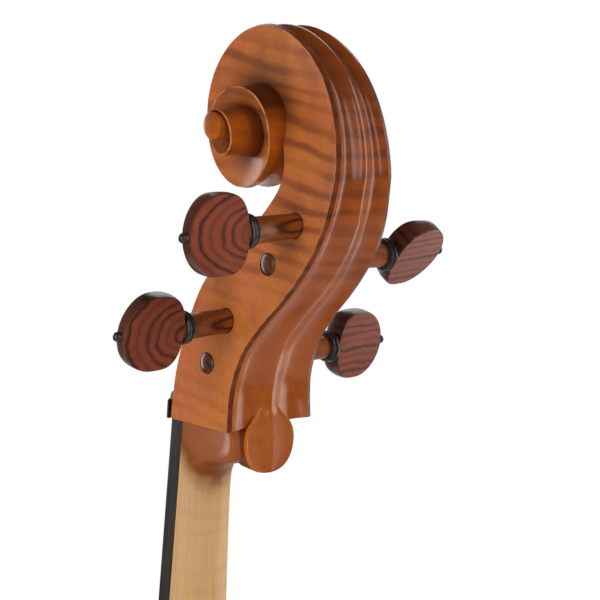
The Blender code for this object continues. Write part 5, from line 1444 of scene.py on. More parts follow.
def make_fingerboard(finish):
    rows, columns = FINGERBOARD_GRID
    around = columns + 1

    def place(row, column):
        z = NUT_PLACE - GAP - FINGERBOARD_LENGTH * row / rows
        half = fingerboard_half(z)
        column %= around
        if column == columns:
            return Vector((-half, FINGERBOARD_SINK - GAP, z))
        if column == 0:
            return Vector((half, FINGERBOARD_SINK - GAP, z))
        x = half * (1 - 2 * (column - 1) / (columns - 2))
        return Vector((x, -fingerboard_top(x, half), z))

    board = ring_solid(rows, around, place)
    show(add_object("ebony_fingerboard", board, NECK, [finish]), "root", "ebony", "fingerboard")


def nut_height(x):
    return along(NUT_PROFILE, abs(x) / NUT_HALF)


def make_nut(finish):
    """The nut with its crown eased and a groove for each string."""
    across = even_steps(NUT_HALF, -NUT_HALF, NUT_COLUMNS)
    outline = [(NUT_HALF, NUT_SINK)] + [(x, -nut_height(x)) for x in across] + [(-NUT_HALF, NUT_SINK)]
    shape = pushed(outline, NUT_PLACE, NUT_BACK, level, NUT_EASE, EASE_SEGMENTS)
    nut = add_object("ebony_nut", shape, NECK, [finish])
    tools = []
    for radius, x, _, _ in STRINGS.values():
        wide, spare = radius * NUT_GROOVE, NUT_GROOVE_SPARE
        groove = cylinder(wide, wide, NUT_PLACE - spare, NUT_BACK + spare, NUT_GROOVE_SIDES)
        tools.append((CUT, moved(groove, (x, -nut_height(x) - GAP, 0)), NECK))
    carve(nut, tools)
    show(nut, "root", "ebony", "nut")


# Pegs

def tip_place(seat):
    _, low_z, low_half = BACK_EDGE[0][1]
    _, high_z, high_half = BACK_EDGE[-1][1]
    cheek = low_half + (high_half - low_half) * (seat[1] - low_z) / (high_z - low_z)
    return -cheek - PEG_TIP_PROUD


RIM, FACE, SHAFT = range(3)


def peg_head_profile():
    """A round, fuller and flatter toward the collar, closed on the axis at both ends."""
    low, high = PEG_COLLAR[1] + GAP, PEG_HEAD_END
    middle, reach = (low + high) / 2, (high - low) / 2
    outer_full, inner_full = PEG_FULLNESS
    profile = []
    for k in range(PEG_HEAD_STEPS + 1):
        place = math.cos(math.pi * k / PEG_HEAD_STEPS)
        full = outer_full if place > 0 else inner_full
        profile.append((PEG_HEAD_RADIUS * (1 - abs(place) ** full) ** 0.5, middle + reach * place))
    return profile


def peg_shaft_profile(seat):
    """From inside the head, through the collar, down the taper to the domed tip."""
    top, tip = PEG_COLLAR[1] + PEG_ROOT, tip_place(seat)
    under, end = shaft_radius(PEG_COLLAR[0]), shaft_radius(tip)
    profile = [(0, top), (under, top), (under, PEG_COLLAR[0]), (end, tip + PEG_TIP_DOME)]
    for turn in even_steps(0, math.pi / 2, PEG_TIP_ROWS)[1:]:
        profile.append((end * math.cos(turn), tip + PEG_TIP_DOME * (1 - math.sin(turn))))
    return profile


def peg_shape(seat):
    """A turned peg whose head is cut to two flat faces that near each other at its end, eased at the rim."""
    bm = turned(peg_head_profile(), PEG_STEPS)
    thick, thin = PEG_HEAD_HALF_THICKNESS
    low = PEG_COLLAR[1] + 2 * GAP
    slope = (thin - thick) / (PEG_HEAD_END - low)
    for side in (1, -1):
        geom = bm.verts[:] + bm.edges[:] + bm.faces[:]
        start = (side * (thick - PEG_RIM_BEVEL), 0, low)
        bmesh.ops.bisect_plane(bm, geom=geom, plane_co=start, plane_no=(side, 0, -slope), clear_outer=True)
    bmesh.ops.remove_doubles(bm, verts=bm.verts, dist=PEG_WELD)
    rims = [edge for edge in bm.edges if edge.is_boundary]
    flats = bmesh.ops.holes_fill(bm, edges=rims, sides=0)["faces"]
    bmesh.ops.recalc_face_normals(bm, faces=bm.faces)
    bmesh.ops.inset_individual(bm, faces=flats, thickness=PEG_RIM_BEVEL, depth=PEG_RIM_BEVEL)
    for face in flats:
        face.material_index = FACE
    head = set(bm.faces)
    turned(peg_shaft_profile(seat), PEG_STEPS, bm=bm)
    dome = tip_place(seat) + PEG_TIP_DOME
    for face in set(bm.faces) - head:
        face.material_index = RIM if face.calc_center_median().z < dome else SHAFT
    return bm


def bead(high, low, radius, groove, steps=8):
    """A half-round ring between two heights."""
    middle, half = (high + low) / 2, (high - low) / 2
    turns = even_steps(0, math.pi, steps)
    return [(groove + (radius - groove) * math.sin(turn), middle + half * math.cos(turn)) for turn in turns]


def collar_profile():
    bore = shaft_radius(PEG_COLLAR[0]) + GAP
    outside = []
    for high, low, radius in PEG_COLLAR_BEADS:
        outside += bead(high, low, radius, bore + PEG_COLLAR_WALL)
    return outside + [(bore, PEG_COLLAR[0]), (bore, PEG_COLLAR[1])]


def pip_profile():
    radius, middle = PEG_PIP_RADIUS, PEG_PIP_PLACE
    turns = even_steps(0, math.pi, PEG_PIP_ROWS)
    return [(radius * math.sin(turn), middle + radius * math.cos(turn)) for turn in turns]


# Growth rings' heart on each peg's face, across and along, how far they are drawn out and apart, and tone
PEG_HEARTS = {
    "c": ((-60, 75), 0.35, 4.2, 1.0), "g": ((60, 70), 0.35, 4.4, 1.1),
    "d": ((0, 50), 0.55, 3.4, 1.05), "a": ((-1, 57), 0.8, 4.4, 0.9),
}
# Where the veins of the shaft meet, how far they are drawn out and how far apart they are
PEG_VEIN_HEART = (0.5, 21)
PEG_VEIN_STRETCH = 0.18
PEG_VEIN_PERIOD = 3.2
PEG_LINE = (0.018, 0.006, 0.005)
PEG_FACE = ((0.26, 0.051, 0.018), (0.15, 0.028, 0.012), PEG_LINE)
PEG_RIM = ((0.12, 0.034, 0.018), (0.06, 0.018, 0.011), PEG_LINE)
PEG_SHAFT = ((0.30, 0.074, 0.014), (0.15, 0.035, 0.008), PEG_LINE)


def make_pegs(black):
    for name, (_, seat, _, _) in PEGS.items():
        place = peg_frame(name)
        heart, stretch, period, tone = PEG_HEARTS[name]
        face, rim, shaft = (
            [toned(shade, tone) for shade in shades] for shades in (PEG_FACE, PEG_RIM, PEG_SHAFT)
        )
        finishes = [
            peg_rosewood(f"peg_rim_{name}", place, heart, stretch, period, rim, 0.4),
            peg_rosewood(f"peg_face_{name}", place, heart, stretch, period, face, 0.1),
            peg_rosewood(
                f"peg_shaft_{name}", place, PEG_VEIN_HEART, PEG_VEIN_STRETCH, PEG_VEIN_PERIOD, shaft, 0.15
            ),
        ]
        body = f"peg_{name}"
        peg = add_object(f"turned_peg_{name}", peg_shape(seat), place, finishes)
        show(peg, body, "rosewood", f"peg_{name}")
        collar = turned(collar_profile(), PEG_COLLAR_STEPS, ring=True)
        collar = add_object(f"turned_collar_{name}", collar, place, [black])
        show(collar, body, "ebony", f"peg_collar_{name}")
        pip = add_object(f"turned_pip_{name}", turned(pip_profile(), PEG_PIP_STEPS), place, [black])
        show(pip, body, "ebony", f"peg_pip_{name}")


# Strings

def around_peg(name, across, radius, angle):
    side, seat, lean, _ = PEGS[name]
    y, z = seat[0] + lean * side * across, seat[1]
    return Vector((across, y + radius * math.cos(angle), z + radius * math.sin(angle)))


def wound_radius(name, across):
    return shaft_radius(across * PEGS[name][0]) + GAP + STRINGS[name][0]


def leaving_angle(name, start, across):
    """Angle round the peg where a string from the nut meets the winding on its front."""
    reach = (around_peg(name, across, 0, 0) - start).yz
    spread = math.acos(wound_radius(name, across) / reach.length)
    return math.atan2(-reach.y, -reach.x) - spread


def over_peg(name, start, end, across, room):
    """The point where a run from start to end is lifted over a peg, or None where it passes clear."""
    centre = around_peg(name, across, 0, 0).yz
    travel = (end - start).yz.normalized()
    front = Vector((-travel.y, travel.x))
    reach = shaft_radius(across * PEGS[name][0]) + room
    if (centre - start.yz).dot(front) + reach < 0:
        return None
    y, z = centre + front * reach
    return Vector((across, y, z))


def bridge_top(x):
    return BRIDGE_TOP - (BRIDGE_CURVE - math.sqrt(BRIDGE_CURVE ** 2 - x * x))


def tail_half(place):
    return along(TAILPIECE_HALF, place)


def tail_crown(x, place):
    share = min(abs(x) / tail_half(place), 1)
    return along(TAILPIECE_CROWN, place) * (1 - share * share)


def string_points(name):
    """From the last wrap on the peg, over the nut, the bridge and the tailpiece, in the body's frame."""
    radius, nut_x, bridge_x, tail_x = STRINGS[name]
    across = WRAP_PLACE[name]
    over_nut = Vector((nut_x, -nut_height(nut_x) - radius - GAP, NUT_PLACE))
    nut_edge = Vector((nut_x, over_nut.y + GAP, NUT_BACK))
    angle = leaving_angle(name, nut_edge, across)
    turns = even_steps(angle - 2 * math.pi * WRAP_TURN, angle, WRAP_STEPS)
    wrap = [around_peg(name, across, wound_radius(name, across), turn) for turn in turns]
    end = wrap[-1]
    lifted = []
    for other in ("g", "a", "c"):
        if PEGS[other][1][1] < PEGS[name][1][1]:
            share = (PEGS[other][1][1] - nut_edge.z) / (end.z - nut_edge.z)
            point = over_peg(other, nut_edge, end, nut_x + (across - nut_x) * share, radius + 2 * GAP)
            if point:
                lifted.append(point)
    points = [NECK_TO_BODY @ point for point in [end] + lifted + [nut_edge, over_nut]]
    points.append(Vector((bridge_x, -bridge_top(bridge_x) - radius - GAP, BRIDGE_PLACE)))
    crown = tail_crown(tail_x, 0) + radius
    for place, room in STRING_END:
        points.append(TAIL_TO_BODY @ Vector((tail_x, -crown - room, place)))
    return [NECK_TO_BODY @ point for point in wrap[:-1]] + rounded(points, STRING_BEND)


def make_strings(finish):
    for name, (radius, *_) in STRINGS.items():
        run = wire(string_points(name), radius, STRING_SIDES)
        string = add_object(f"wound_string_{name}", run, BODY, [finish])
        show(string, "root", "string_steel", f"string_{name}")
        side = PEGS[name][0]
        pitch = 2 * radius + WINDING_GAP
        start = WRAP_PLACE[name] + side * pitch
        points = []
        for k in range(WINDING_LOOPS * WINDING_POINTS + 1):
            across = start + side * pitch * k / WINDING_POINTS
            angle = 2 * math.pi * k / WINDING_POINTS
            points.append(around_peg(name, across, wound_radius(name, across), angle))
        coil = add_object(f"string_coil_{name}", wire(points, radius, STRING_SIDES), NECK, [finish])
        show(coil, f"peg_{name}", "string_steel", f"winding_{name}")


# Sound box

def curve_points(segments, steps):
    points = []
    for segment in segments:
        run = interpolate_bezier(*[Vector((x, z, 0)) for x, z in segment], steps + 1)
        points += [point.to_2d() for point in (run[1:] if points else run)]
    return points


def half_outline(steps):
    return curve_points(LOWER_BOUT, steps) + curve_points(WAIST, steps) + curve_points(UPPER_BOUT, steps)


def inset(points, distance):
    """The line moved to the left of its travel, which is into the body on the treble side."""
    shifted = []
    for k, point in enumerate(points):
        travel = points[min(k + 1, len(points) - 1)] - points[max(k - 1, 0)]
        if abs(point.x) < 1:
            travel = Vector((1 if point.y < BODY_LENGTH / 2 else -1, 0))
        shifted.append(point + Vector((-travel.y, travel.x)).normalized() * distance)
    return shifted


def trimmed_end(points, length):
    """The line with a length cut off its end."""
    kept = list(points)
    while len(kept) > 2 and (kept[-1] - kept[-2]).length < length:
        length -= (kept[-1] - kept[-2]).length
        kept.pop()
    kept[-1] = kept[-1] + (kept[-2] - kept[-1]).normalized() * length
    return kept


def arch(x, z, rise):
    """Height of the arching above the flat edge."""
    end_distance = min(z, BODY_LENGTH - z) - EDGE_FLAT
    long_share = min(max(end_distance / (BODY_LENGTH * ARCH_END_SHARE), 0), 1)
    long_rise = math.sin(long_share * math.pi / 2) ** ARCH_END_POWER
    across = min(abs(x) / along(ARCH_HALF_WIDTH, z), 1)
    return rise * long_rise * (1 + math.cos(across * math.pi)) / 2


def front_outside(x, z):
    return -EDGE_THICKNESS - arch(x, z, FRONT_RISE)


PLAIN, INLAY_BLACK, INLAY_WHITE, RAW = range(4)


def plate(outward, base, rise):
    """A carved plate: hollow inside, round edge, border, inlaid line, channel and arching to the middle."""
    treble = half_outline(OUTLINE_STEPS)
    ring = treble + [Vector((-point.x, point.y)) for point in reversed(treble[1:-1])]
    low, high = PLATE_MIDDLE
    middles = [Vector((0, min(max(point.y, low), high))) for point in ring]
    first = INSIDE_COLUMNS
    edge_end = first + EDGE_ROUND_STEPS
    border_end = edge_end + len(BORDER_COLUMNS)
    last = border_end + PLATE_COLUMNS
    half = EDGE_THICKNESS / 2

    def place(row, column):
        row %= len(ring)
        outer, middle = ring[row], middles[row]
        reach = (middle - outer).length
        if column < first:
            inward = EDGE_ROUNDING + (reach - EDGE_ROUNDING) * (1 - column / first)
            height = 0.0
        elif column <= edge_end:
            turn = math.pi * (column - first) / EDGE_ROUND_STEPS
            inward = EDGE_ROUNDING * (1 - math.sin(turn))
            height = half - half * math.cos(turn)
        elif column < border_end:
            inward = BORDER_COLUMNS[column - edge_end - 1]
            height = EDGE_THICKNESS
        else:
            border = BORDER_COLUMNS[-1]
            inward = border + (reach - border) * (column - border_end + 1) / (last - border_end + 1)
            height = EDGE_THICKNESS
        spot = outer + (middle - outer).normalized() * min(inward, reach)
        if column > edge_end:
            height -= CHANNEL_DEPTH * math.exp(-((inward - CHANNEL_PLACE) / CHANNEL_WIDTH) ** 2)
        return Vector((spot.x, base + outward * (height + arch(spot.x, spot.y, rise)), spot.y))

    def finish(_, column):
        if column < first:
            return RAW
        if edge_end < column < border_end:
            inward = BORDER_COLUMNS[column - edge_end - 1]
            if inward in INLAY_DARK:
                return INLAY_BLACK
            if inward == INLAY_PALE:
                return INLAY_WHITE
        return PLAIN

    bm = bmesh.new()
    mapped_grid(bm, len(ring), last, place, finish)
    return bm


def sound_hole(side):
    """The long opening between the two eyes, smooth, with a nick on either side at the middle."""
    keys = [(k, (*point, half)) for k, (point, half) in enumerate(SOUND_HOLE_LINE)]
    steps = SOUND_HOLE_STEPS * (len(keys) - 1)
    line = [along(keys, k / SOUND_HOLE_STEPS) for k in range(steps + 1)]
    left, right = [], []
    for k, (x, z, half) in enumerate(line):
        travel = (line[min(k + 1, steps)] - line[max(k - 1, 0)]).to_2d().normalized()
        half += SOUND_HOLE_NICK if k == steps // 2 else 0
        aside = Vector((-travel.y, travel.x)) * half
        left.append(Vector((x, z)) + aside)
        right.append(Vector((x, z)) - aside)
    outline = [(point.x * side, point.y) for point in left + right[::-1]]
    low, high = THROUGH_FRONT
    tools = [pushed(outline, low, high, upright, finish=RAW)]
    for (x, z), radius in SOUND_HOLE_EYES:
        eye = cylinder(radius, radius, low, high, EYE_SIDES, RAW)
        tools.append(moved(eye, (x * side, 0, z), -math.pi / 2))
    return tools


def heel_room():
    """The cut in the front that the heel passes through."""
    low, high = BODY_LENGTH - HEEL_SINK - GAP, BODY_LENGTH + HEEL_ROOM
    depths = [THROUGH_FRONT[0], HEEL_TOP[0][0], *HEEL_ROOM_DEPTHS]

    def place(row, column):
        half = along(HEEL_HALF, depths[row]) + GAP
        x, z = ((half, low), (half, high), (-half, high), (-half, low))[column % 4]
        return Vector((x, depths[row], z))

    return ring_solid(len(depths) - 1, 4, place, RAW)


def make_front(finishes):
    front = add_object("arched_front", plate(-1, 0, FRONT_RISE), BODY, finishes)
    half = SADDLE_HALF + GAP
    low, high = THROUGH_FRONT
    saddle_room = block((-half, low, -SADDLE_LENGTH), (half, high, SADDLE_LENGTH + GAP), RAW)
    tools = sound_hole(1) + sound_hole(-1) + [saddle_room, heel_room()]
    carve(front, [(CUT, tool, BODY) for tool in tools])
    show(front, "root", "varnished_spruce", "front")


def make_back(finishes):
    back = add_object("arched_back", plate(1, RIB_DEPTH, BACK_RISE), BODY, finishes)
    top = BODY_LENGTH + BUTTON_HEIGHT
    root = BODY_LENGTH - BUTTON_ROOT
    turns = even_steps(0, math.pi, BUTTON_STEPS)
    outline = [(BUTTON_RADIUS * math.cos(turn), top + BUTTON_RADIUS * math.sin(turn)) for turn in turns]
    outline = [(BUTTON_RADIUS, root)] + outline + [(-BUTTON_RADIUS, root)]
    low = RIB_DEPTH + GAP
    high = low + EDGE_THICKNESS - 2 * GAP
    button = pushed(outline, low, high, upright, BUTTON_EASE, EASE_SEGMENTS, PLAIN)
    carve(back, [(JOIN, button, BODY)])
    show(back, "root", "varnished_maple", "back")


def make_ribs(finish):
    lines = {
        "lower": curve_points(LOWER_BOUT, RIB_STEPS),
        "centre": curve_points(WAIST, RIB_STEPS),
        "upper": trimmed_end(curve_points(UPPER_BOUT, RIB_STEPS), NECK_ROOM),
    }
    depths = (GAP, RIB_DEPTH - GAP)
    for bout, line in lines.items():
        outer, inner = inset(line, OVERHANG), inset(line, OVERHANG + RIB_THICKNESS)
        lengths = run_lengths(outer)
        for side, label in ((-1, "bass"), (1, "treble")):

            def place(row, column):
                point = (outer, outer, inner, inner)[column % 4][row]
                depth = (depths[0], depths[1], depths[1], depths[0])[column % 4]
                return Vector((point.x * side, depth, point.y))

            def lay(row, column):
                return (lengths[row], (depths[0], depths[1], depths[1], depths[0], depths[0])[column])

            rib = ring_solid(len(line) - 1, 4, place, lay=lay)
            made = add_object(f"bent_rib_{bout}_{label}", rib, BODY, [finish])
            show(made, "root", "varnished_maple", f"rib_{bout}_{label}")


# Bridge, tailpiece and fine tuners

def smooth_line(points, steps=5):
    keys = [(k, point) for k, point in enumerate(points)]
    return [tuple(along(keys, k / steps)) for k in range((len(points) - 1) * steps + 1)]


def make_bridge(finish):
    crown = -front_outside(0, BRIDGE_PLACE)
    side = smooth_line(BRIDGE_OUTLINE[1:-1]) + [BRIDGE_OUTLINE[-1]]
    half = [(x, crown + h) for x, h in [BRIDGE_OUTLINE[0]] + side]
    top = [(x, bridge_top(x)) for x in BRIDGE_TOP_PLACES]
    arch_line = smooth_line(BRIDGE_ARCH[:-1]) + [BRIDGE_ARCH[-1]]
    inside = [(x, crown + h) for x, h in arch_line]
    right = half + top
    under = [(-x, h) for x, h in reversed(inside)] + inside[1:]
    outline = right + [(0, bridge_top(0))] + [(-x, h) for x, h in reversed(right)] + under
    foot_level = min(h for _, h in outline)
    base, tip = BRIDGE_THICKNESS

    def place(u, v, height):
        thickness = base + (tip - base) * (v - foot_level) / (BRIDGE_TOP - foot_level)
        return Vector((u, -v, BRIDGE_PLACE + height * thickness))

    bridge = add_object("carved_bridge", pushed(outline, -0.5, 0.5, place, BRIDGE_EASE), BODY, [finish])
    tools = []
    for (x, h), radius in BRIDGE_EYES:
        eye = cylinder(radius, radius, -BRIDGE_DEEP, BRIDGE_DEEP, EYE_SIDES)
        tools.append(moved(eye, (x, -crown - h, BRIDGE_PLACE)))
    (x, h), radius = BRIDGE_HEART
    heart = smooth_line([(radius * u, radius * v) for u, v in BRIDGE_HEART_LINE])
    heart = heart + [(-u, v) for u, v in reversed(heart[1:-1])]
    outline = [(x + u, -crown - h - v) for u, v in heart]
    tools.append(pushed(outline, BRIDGE_PLACE - BRIDGE_DEEP, BRIDGE_PLACE + BRIDGE_DEEP, level))
    reach, tall, columns = BRIDGE_SEAT

    def seat(row, column):
        seat_x, z = reach * (2 * column / columns - 1), BRIDGE_PLACE + tall * (row - 1)
        return Vector((seat_x, front_outside(seat_x, z) - GAP, z))

    floor = bmesh.new()
    mapped_grid(floor, 2, columns, seat)
    for item in bmesh.ops.extrude_face_region(floor, geom=floor.faces[:])["geom"]:
        if isinstance(item, bmesh.types.BMVert):
            item.co.y = BRIDGE_DEEP
    tools.append(floor)
    carve(bridge, [(CUT, tool, BODY) for tool in tools])
    show(bridge, "root", "bridge_maple", "bridge")


def make_tailpiece(finish):
    low, high = TAILPIECE_HALF[0][0], TAILPIECE_HALF[-1][0]
    around = TAILPIECE_COLUMNS + 3

    def place(row, column):
        z = low + (high - low) * row / TAILPIECE_ROWS
        half = tail_half(z)
        column %= around
        if column > TAILPIECE_COLUMNS:
            under = half * TAILPIECE_UNDERCUT
            return Vector((-under if column == TAILPIECE_COLUMNS + 1 else under, TAILPIECE_SIDE, z))
        x = half * math.cos(math.pi * column / TAILPIECE_COLUMNS)
        return Vector((x, -tail_crown(x, z), z))

    tailpiece = add_object("ebony_tailpiece", ring_solid(TAILPIECE_ROWS, around, place), TAIL, [finish])
    tools = []
    near, far = TUNER_SLOT
    half, sides = TUNER_SLOT_HALF, TAILPIECE_HOLE_SIDES
    for _, _, _, x in STRINGS.values():
        tools.append(block((x - half, -TUNER_CUT, -far), (x + half, TUNER_CUT, -near)))
        hole = cylinder(half, half, -TUNER_CUT, TUNER_CUT, sides)
        tools.append(moved(hole, (x, 0, -TUNER_SCREW_PLACE), math.pi / 2))
    room = TAIL_CORD_RADIUS + 2 * GAP
    for side in (-1, 1):
        hole = cylinder(room, room, -2 * TAIL_CORD_SINK, TAIL_CORD_SINK + GAP, sides)
        tools.append(moved(hole, (side * TAIL_CORD_SPREAD, 0, -TAILPIECE_LENGTH)))
    carve(tailpiece, [(CUT, tool, TAIL) for tool in tools])
    show(tailpiece, "root", "ebony", "tailpiece")


def lever_outline(crown):
    low = crown + TUNER_PIVOT_DEPTH + TUNER_HOOK_ROOM
    high = low + TUNER_HOOK_HEIGHT
    near, far, heel = TUNER_HOOK_REACH
    return [(near, low), (far, low), (far, high), (heel, high)] + TUNER_LEVER_TAIL


def knurl(bm, radius, low, high):
    """Fine grooves round the edge of a turned head between two heights."""
    for corner in bm.verts:
        reach = Vector((corner.co.x, corner.co.y)).length
        if low < corner.co.z < high and reach > radius - KNURL_BAND:
            turn = math.atan2(corner.co.y, corner.co.x)
            share = 1 - KNURL_DEPTH * (0.5 + 0.5 * math.cos(turn * KNURLS)) / reach
            corner.co.x *= share
            corner.co.y *= share
    return bm


def make_tuners(finish):
    for name, (_, _, _, x) in STRINGS.items():
        outline = [(-down, -height) for down, height in lever_outline(tail_crown(x, -TUNER_PIVOT_PLACE))]
        lever = pushed(outline, -TUNER_LEVER_HALF, TUNER_LEVER_HALF, sideways, TUNER_LEVER_EASE)
        pivot = TAIL @ Matrix.Translation((x, TUNER_PIVOT_DEPTH, -TUNER_PIVOT_PLACE))
        made = add_object(f"bright_lever_{name}", lever, pivot, [finish])
        show(made, f"tuner_lever_{name}", "bright_steel", f"tuner_lever_{name}")
        low = tail_crown(abs(x) - TUNER_HEAD_RADIUS, -TUNER_SCREW_PLACE) + TUNER_HEAD_ROOM
        high = low + TUNER_HEAD_HEIGHT
        rim, shank, ease = TUNER_HEAD_RADIUS, TUNER_SHANK_RADIUS, TUNER_END_EASE
        end = -TAILPIECE_SIDE - TUNER_SCREW_PROUD
        profile = [(0, high - TUNER_HEAD_TOP[0][1])]
        profile += [(rim - inside, high - down) for inside, down in TUNER_HEAD_TOP]
        profile += [(rim - inside, low + up) for inside, up in TUNER_HEAD_FOOT]
        profile += [(shank, low), (shank, end + ease), (shank - ease, end), (0, end)]
        foot, top = TUNER_KNURL
        screw = knurl(turned(profile, KNURL_STEPS), rim, low + foot, high - top)
        place = TAIL @ Matrix.Translation((x, 0, -TUNER_SCREW_PLACE)) @ Matrix.Rotation(math.pi / 2, 4, "X")
        made = add_object(f"knurled_screw_{name}", screw, place, [finish])
        show(made, f"tuner_screw_{name}", "bright_steel", f"tuner_screw_{name}")


def make_saddle(finish):
    rise = SADDLE_TOP - EDGE_THICKNESS
    turns = even_steps(0, math.pi, SADDLE_STEPS)
    outline = [(SADDLE_HALF * math.cos(turn), -EDGE_THICKNESS - rise * math.sin(turn)) for turn in turns]
    outline = [(SADDLE_HALF, -GAP)] + outline + [(-SADDLE_HALF, -GAP)]
    saddle = pushed(outline, -SADDLE_PROUD, SADDLE_LENGTH, level, SADDLE_EASE, EASE_SEGMENTS)
    show(add_object("ebony_saddle", saddle, BODY, [finish]), "root", "ebony", "saddle")


def make_tail_cord(finish):
    """A cord from the tailpiece over the saddle and round the endpin's collar."""
    room = TAIL_CORD_RADIUS + GAP
    spread, depth = TAIL_CORD_SPREAD, TAIL_CORD_LEVEL
    collar = ENDPIN_COLLAR_RADIUS + room
    edge_flare, low_flare = TAIL_CORD_FLARE
    across, ahead = TAIL_CORD_APPROACH
    down = [
        TAIL_TO_BODY @ Vector((spread, 0, TAIL_CORD_SINK - TAILPIECE_LENGTH)),
        Vector((spread, -SADDLE_TOP - room, SADDLE_LENGTH * TAIL_CORD_LANDING)),
        Vector((spread + edge_flare, -SADDLE_TOP - room, 0)),
        Vector((spread + low_flare, -SADDLE_TOP + TAIL_CORD_DIP, depth)),
        Vector((collar * across, ENDPIN_DEPTH - collar * ahead, depth)),
    ]
    loop = []
    for turn in even_steps(*TAIL_CORD_ARC, TAIL_CORD_STEPS):
        loop.append(Vector((collar * math.cos(turn), ENDPIN_DEPTH + collar * math.sin(turn), depth)))
    up = [Vector((-point.x, point.y, point.z)) for point in reversed(down)]
    path = rounded(down + loop[:1], TAIL_CORD_BEND)[:-1] + loop + rounded(loop[-1:] + up, TAIL_CORD_BEND)[1:]
    cord = add_object("braided_tail_cord", wire(path, TAIL_CORD_RADIUS, TAIL_CORD_SIDES), BODY, [finish])
    show(cord, "root", "cord", "tail_cord")


# Endpin

def make_endpin(black, bright, rubber):
    axis = BODY @ Matrix.Translation((0, ENDPIN_DEPTH, 0))
    shank, collar, neck = ENDPIN_SHANK_RADIUS, ENDPIN_COLLAR_RADIUS, ENDPIN_NECK_RADIUS
    flange, rib_face, bore = collar + ENDPIN_FLANGE, OVERHANG - GAP, ENDPIN_ROD_RADIUS + GAP
    top, low, ease = ENDPIN_SHANK_TOP, ENDPIN_PLUG_BOTTOM, ENDPIN_FLANGE_EASE
    outside = [(shank - ENDPIN_SHANK_TAPER, top), (shank, rib_face)]
    outside += [(flange - ease, rib_face), (flange, rib_face - ease)]
    outside += [(flange, ENDPIN_FLANGE_LOW), (flange - ease, ENDPIN_FLANGE_LOW - ease)]
    outside.append((collar, ENDPIN_COLLAR_TOP))
    bead_top, bead_foot, proud = ENDPIN_COLLAR_BEAD
    outside += bead(bead_top, bead_foot, collar + proud, collar)
    outside += [(neck + out, height) for out, height in ENDPIN_COVE]
    bead_top, bead_foot, proud = ENDPIN_MOUTH_BEAD
    outside += bead(bead_top, bead_foot, neck + proud, neck)
    plug = turned(outside + [(neck, low), (bore, low), (bore, top)], ENDPIN_PLUG_STEPS, ring=True)
    plug = add_object("turned_endpin_plug", plug, axis, [black])
    screw_frame = axis @ Matrix.Translation((0, 0, THUMBSCREW_PLACE)) @ Matrix.Rotation(-math.pi / 2, 4, "X")
    hole = cylinder(THUMBSCREW_HOLE, THUMBSCREW_HOLE, 0, ENDPIN_SHANK_TOP, THUMBSCREW_HOLE_SIDES)
    carve(plug, [(CUT, hole, screw_frame)])
    show(plug, "root", "ebony", "endpin_plug")
    end = ENDPIN_ROD_RADIUS + 2 * GAP
    rim = THUMBSCREW_PROFILE[2][0]
    screw = turned(THUMBSCREW_PROFILE + [(THUMBSCREW_SHANK, end), (0, end)], KNURL_STEPS)
    screw = add_object("knurled_thumbscrew", knurl(screw, rim, *THUMBSCREW_KNURL), screw_frame, [bright])
    show(screw, "thumbscrew", "bright_steel", "endpin_thumbscrew")
    radius, top, foot, ease = ENDPIN_ROD_RADIUS, ENDPIN_ROD_TOP, ENDPIN_ROD_BOTTOM, ENDPIN_ROD_EASE
    rod = [(0, top), (radius - ease, top), (radius, top - ease), (radius, foot), (0, foot)]
    rod = add_object("polished_endpin_rod", turned(rod, ENDPIN_ROD_STEPS), axis, [bright])
    show(rod, "endpin", "bright_steel", "endpin_rod")
    profile = smooth_line(TIP_PROFILE[:-1], TIP_STEPS) + [TIP_PROFILE[-1]]
    outside = [(r, ENDPIN_TIP_BOTTOM + h) for r, h in profile]
    seat = ENDPIN_ROD_BOTTOM - GAP
    tip = turned(outside + [(0, seat), (bore, seat), (bore, outside[0][1])], ENDPIN_TIP_STEPS, ring=True)
    show(add_object("moulded_tip", tip, axis, [rubber]), "endpin", "rubber", "endpin_tip")


def finish_inner_pieces(finish):
    """Blocks, linings, bar and post keep their solids and get bare spruce."""
    for name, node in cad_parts.items():
        if not node.hide_render:
            node.data.materials.clear()
            node.data.materials.append(finish)


# Studio and camera

FLOOR_RADIUS = 1.7
FLOOR_SIDES = 96
FLOOR_TONE = (0.8, 0.8, 0.8, 1)
# Distances from the middle over which the floor runs out to white
FLOOR_FADE = (0.5, 1.6)
WHITE = (1, 1, 1, 1)
# How nearly a direction points away from the photo's side where the white sweep begins and is full
SWEEP = (0.65, 1.0)
# Light of the room and how much the sweep adds to it, for plain light and for reflections
ROOM_LIGHT = (0.18, 0.15)
ROOM_MIRRORED = (0.05, 0.9)
# Lights: name, place, aim and size in metres, and power in watts
SOFTBOXES = [
    ("left_softbox", (2.3, 0.5, 0.35), (0, 0, -0.1), (1.3, 2.4), 50),
    ("right_softbox", (-2.2, 1.1, 0.3), (0, 0, -0.1), (1.4, 2.7), 50),
    ("back_strip", (0.1, 2.5, 0.5), (0, 0, -0.1), (0.5, 2.5), 24),
    ("low_softbox", (-1.75, 0.15, -0.85), (0, 0, 0.05), (0.7, 0.7), 4.5),
    ("rim_softbox", (-1.5, -1.0, 1.4), (0, 0, 0.2), (1.3, 1.1), 8),
    ("front_softbox", (0.1, -2.4, 0.3), (0, 0, -0.4), (1.6, 2.0), 46),
]
PHOTO_SIDE = (NECK.to_3x3() @ Vector(CAMERA_BACK)).normalized()


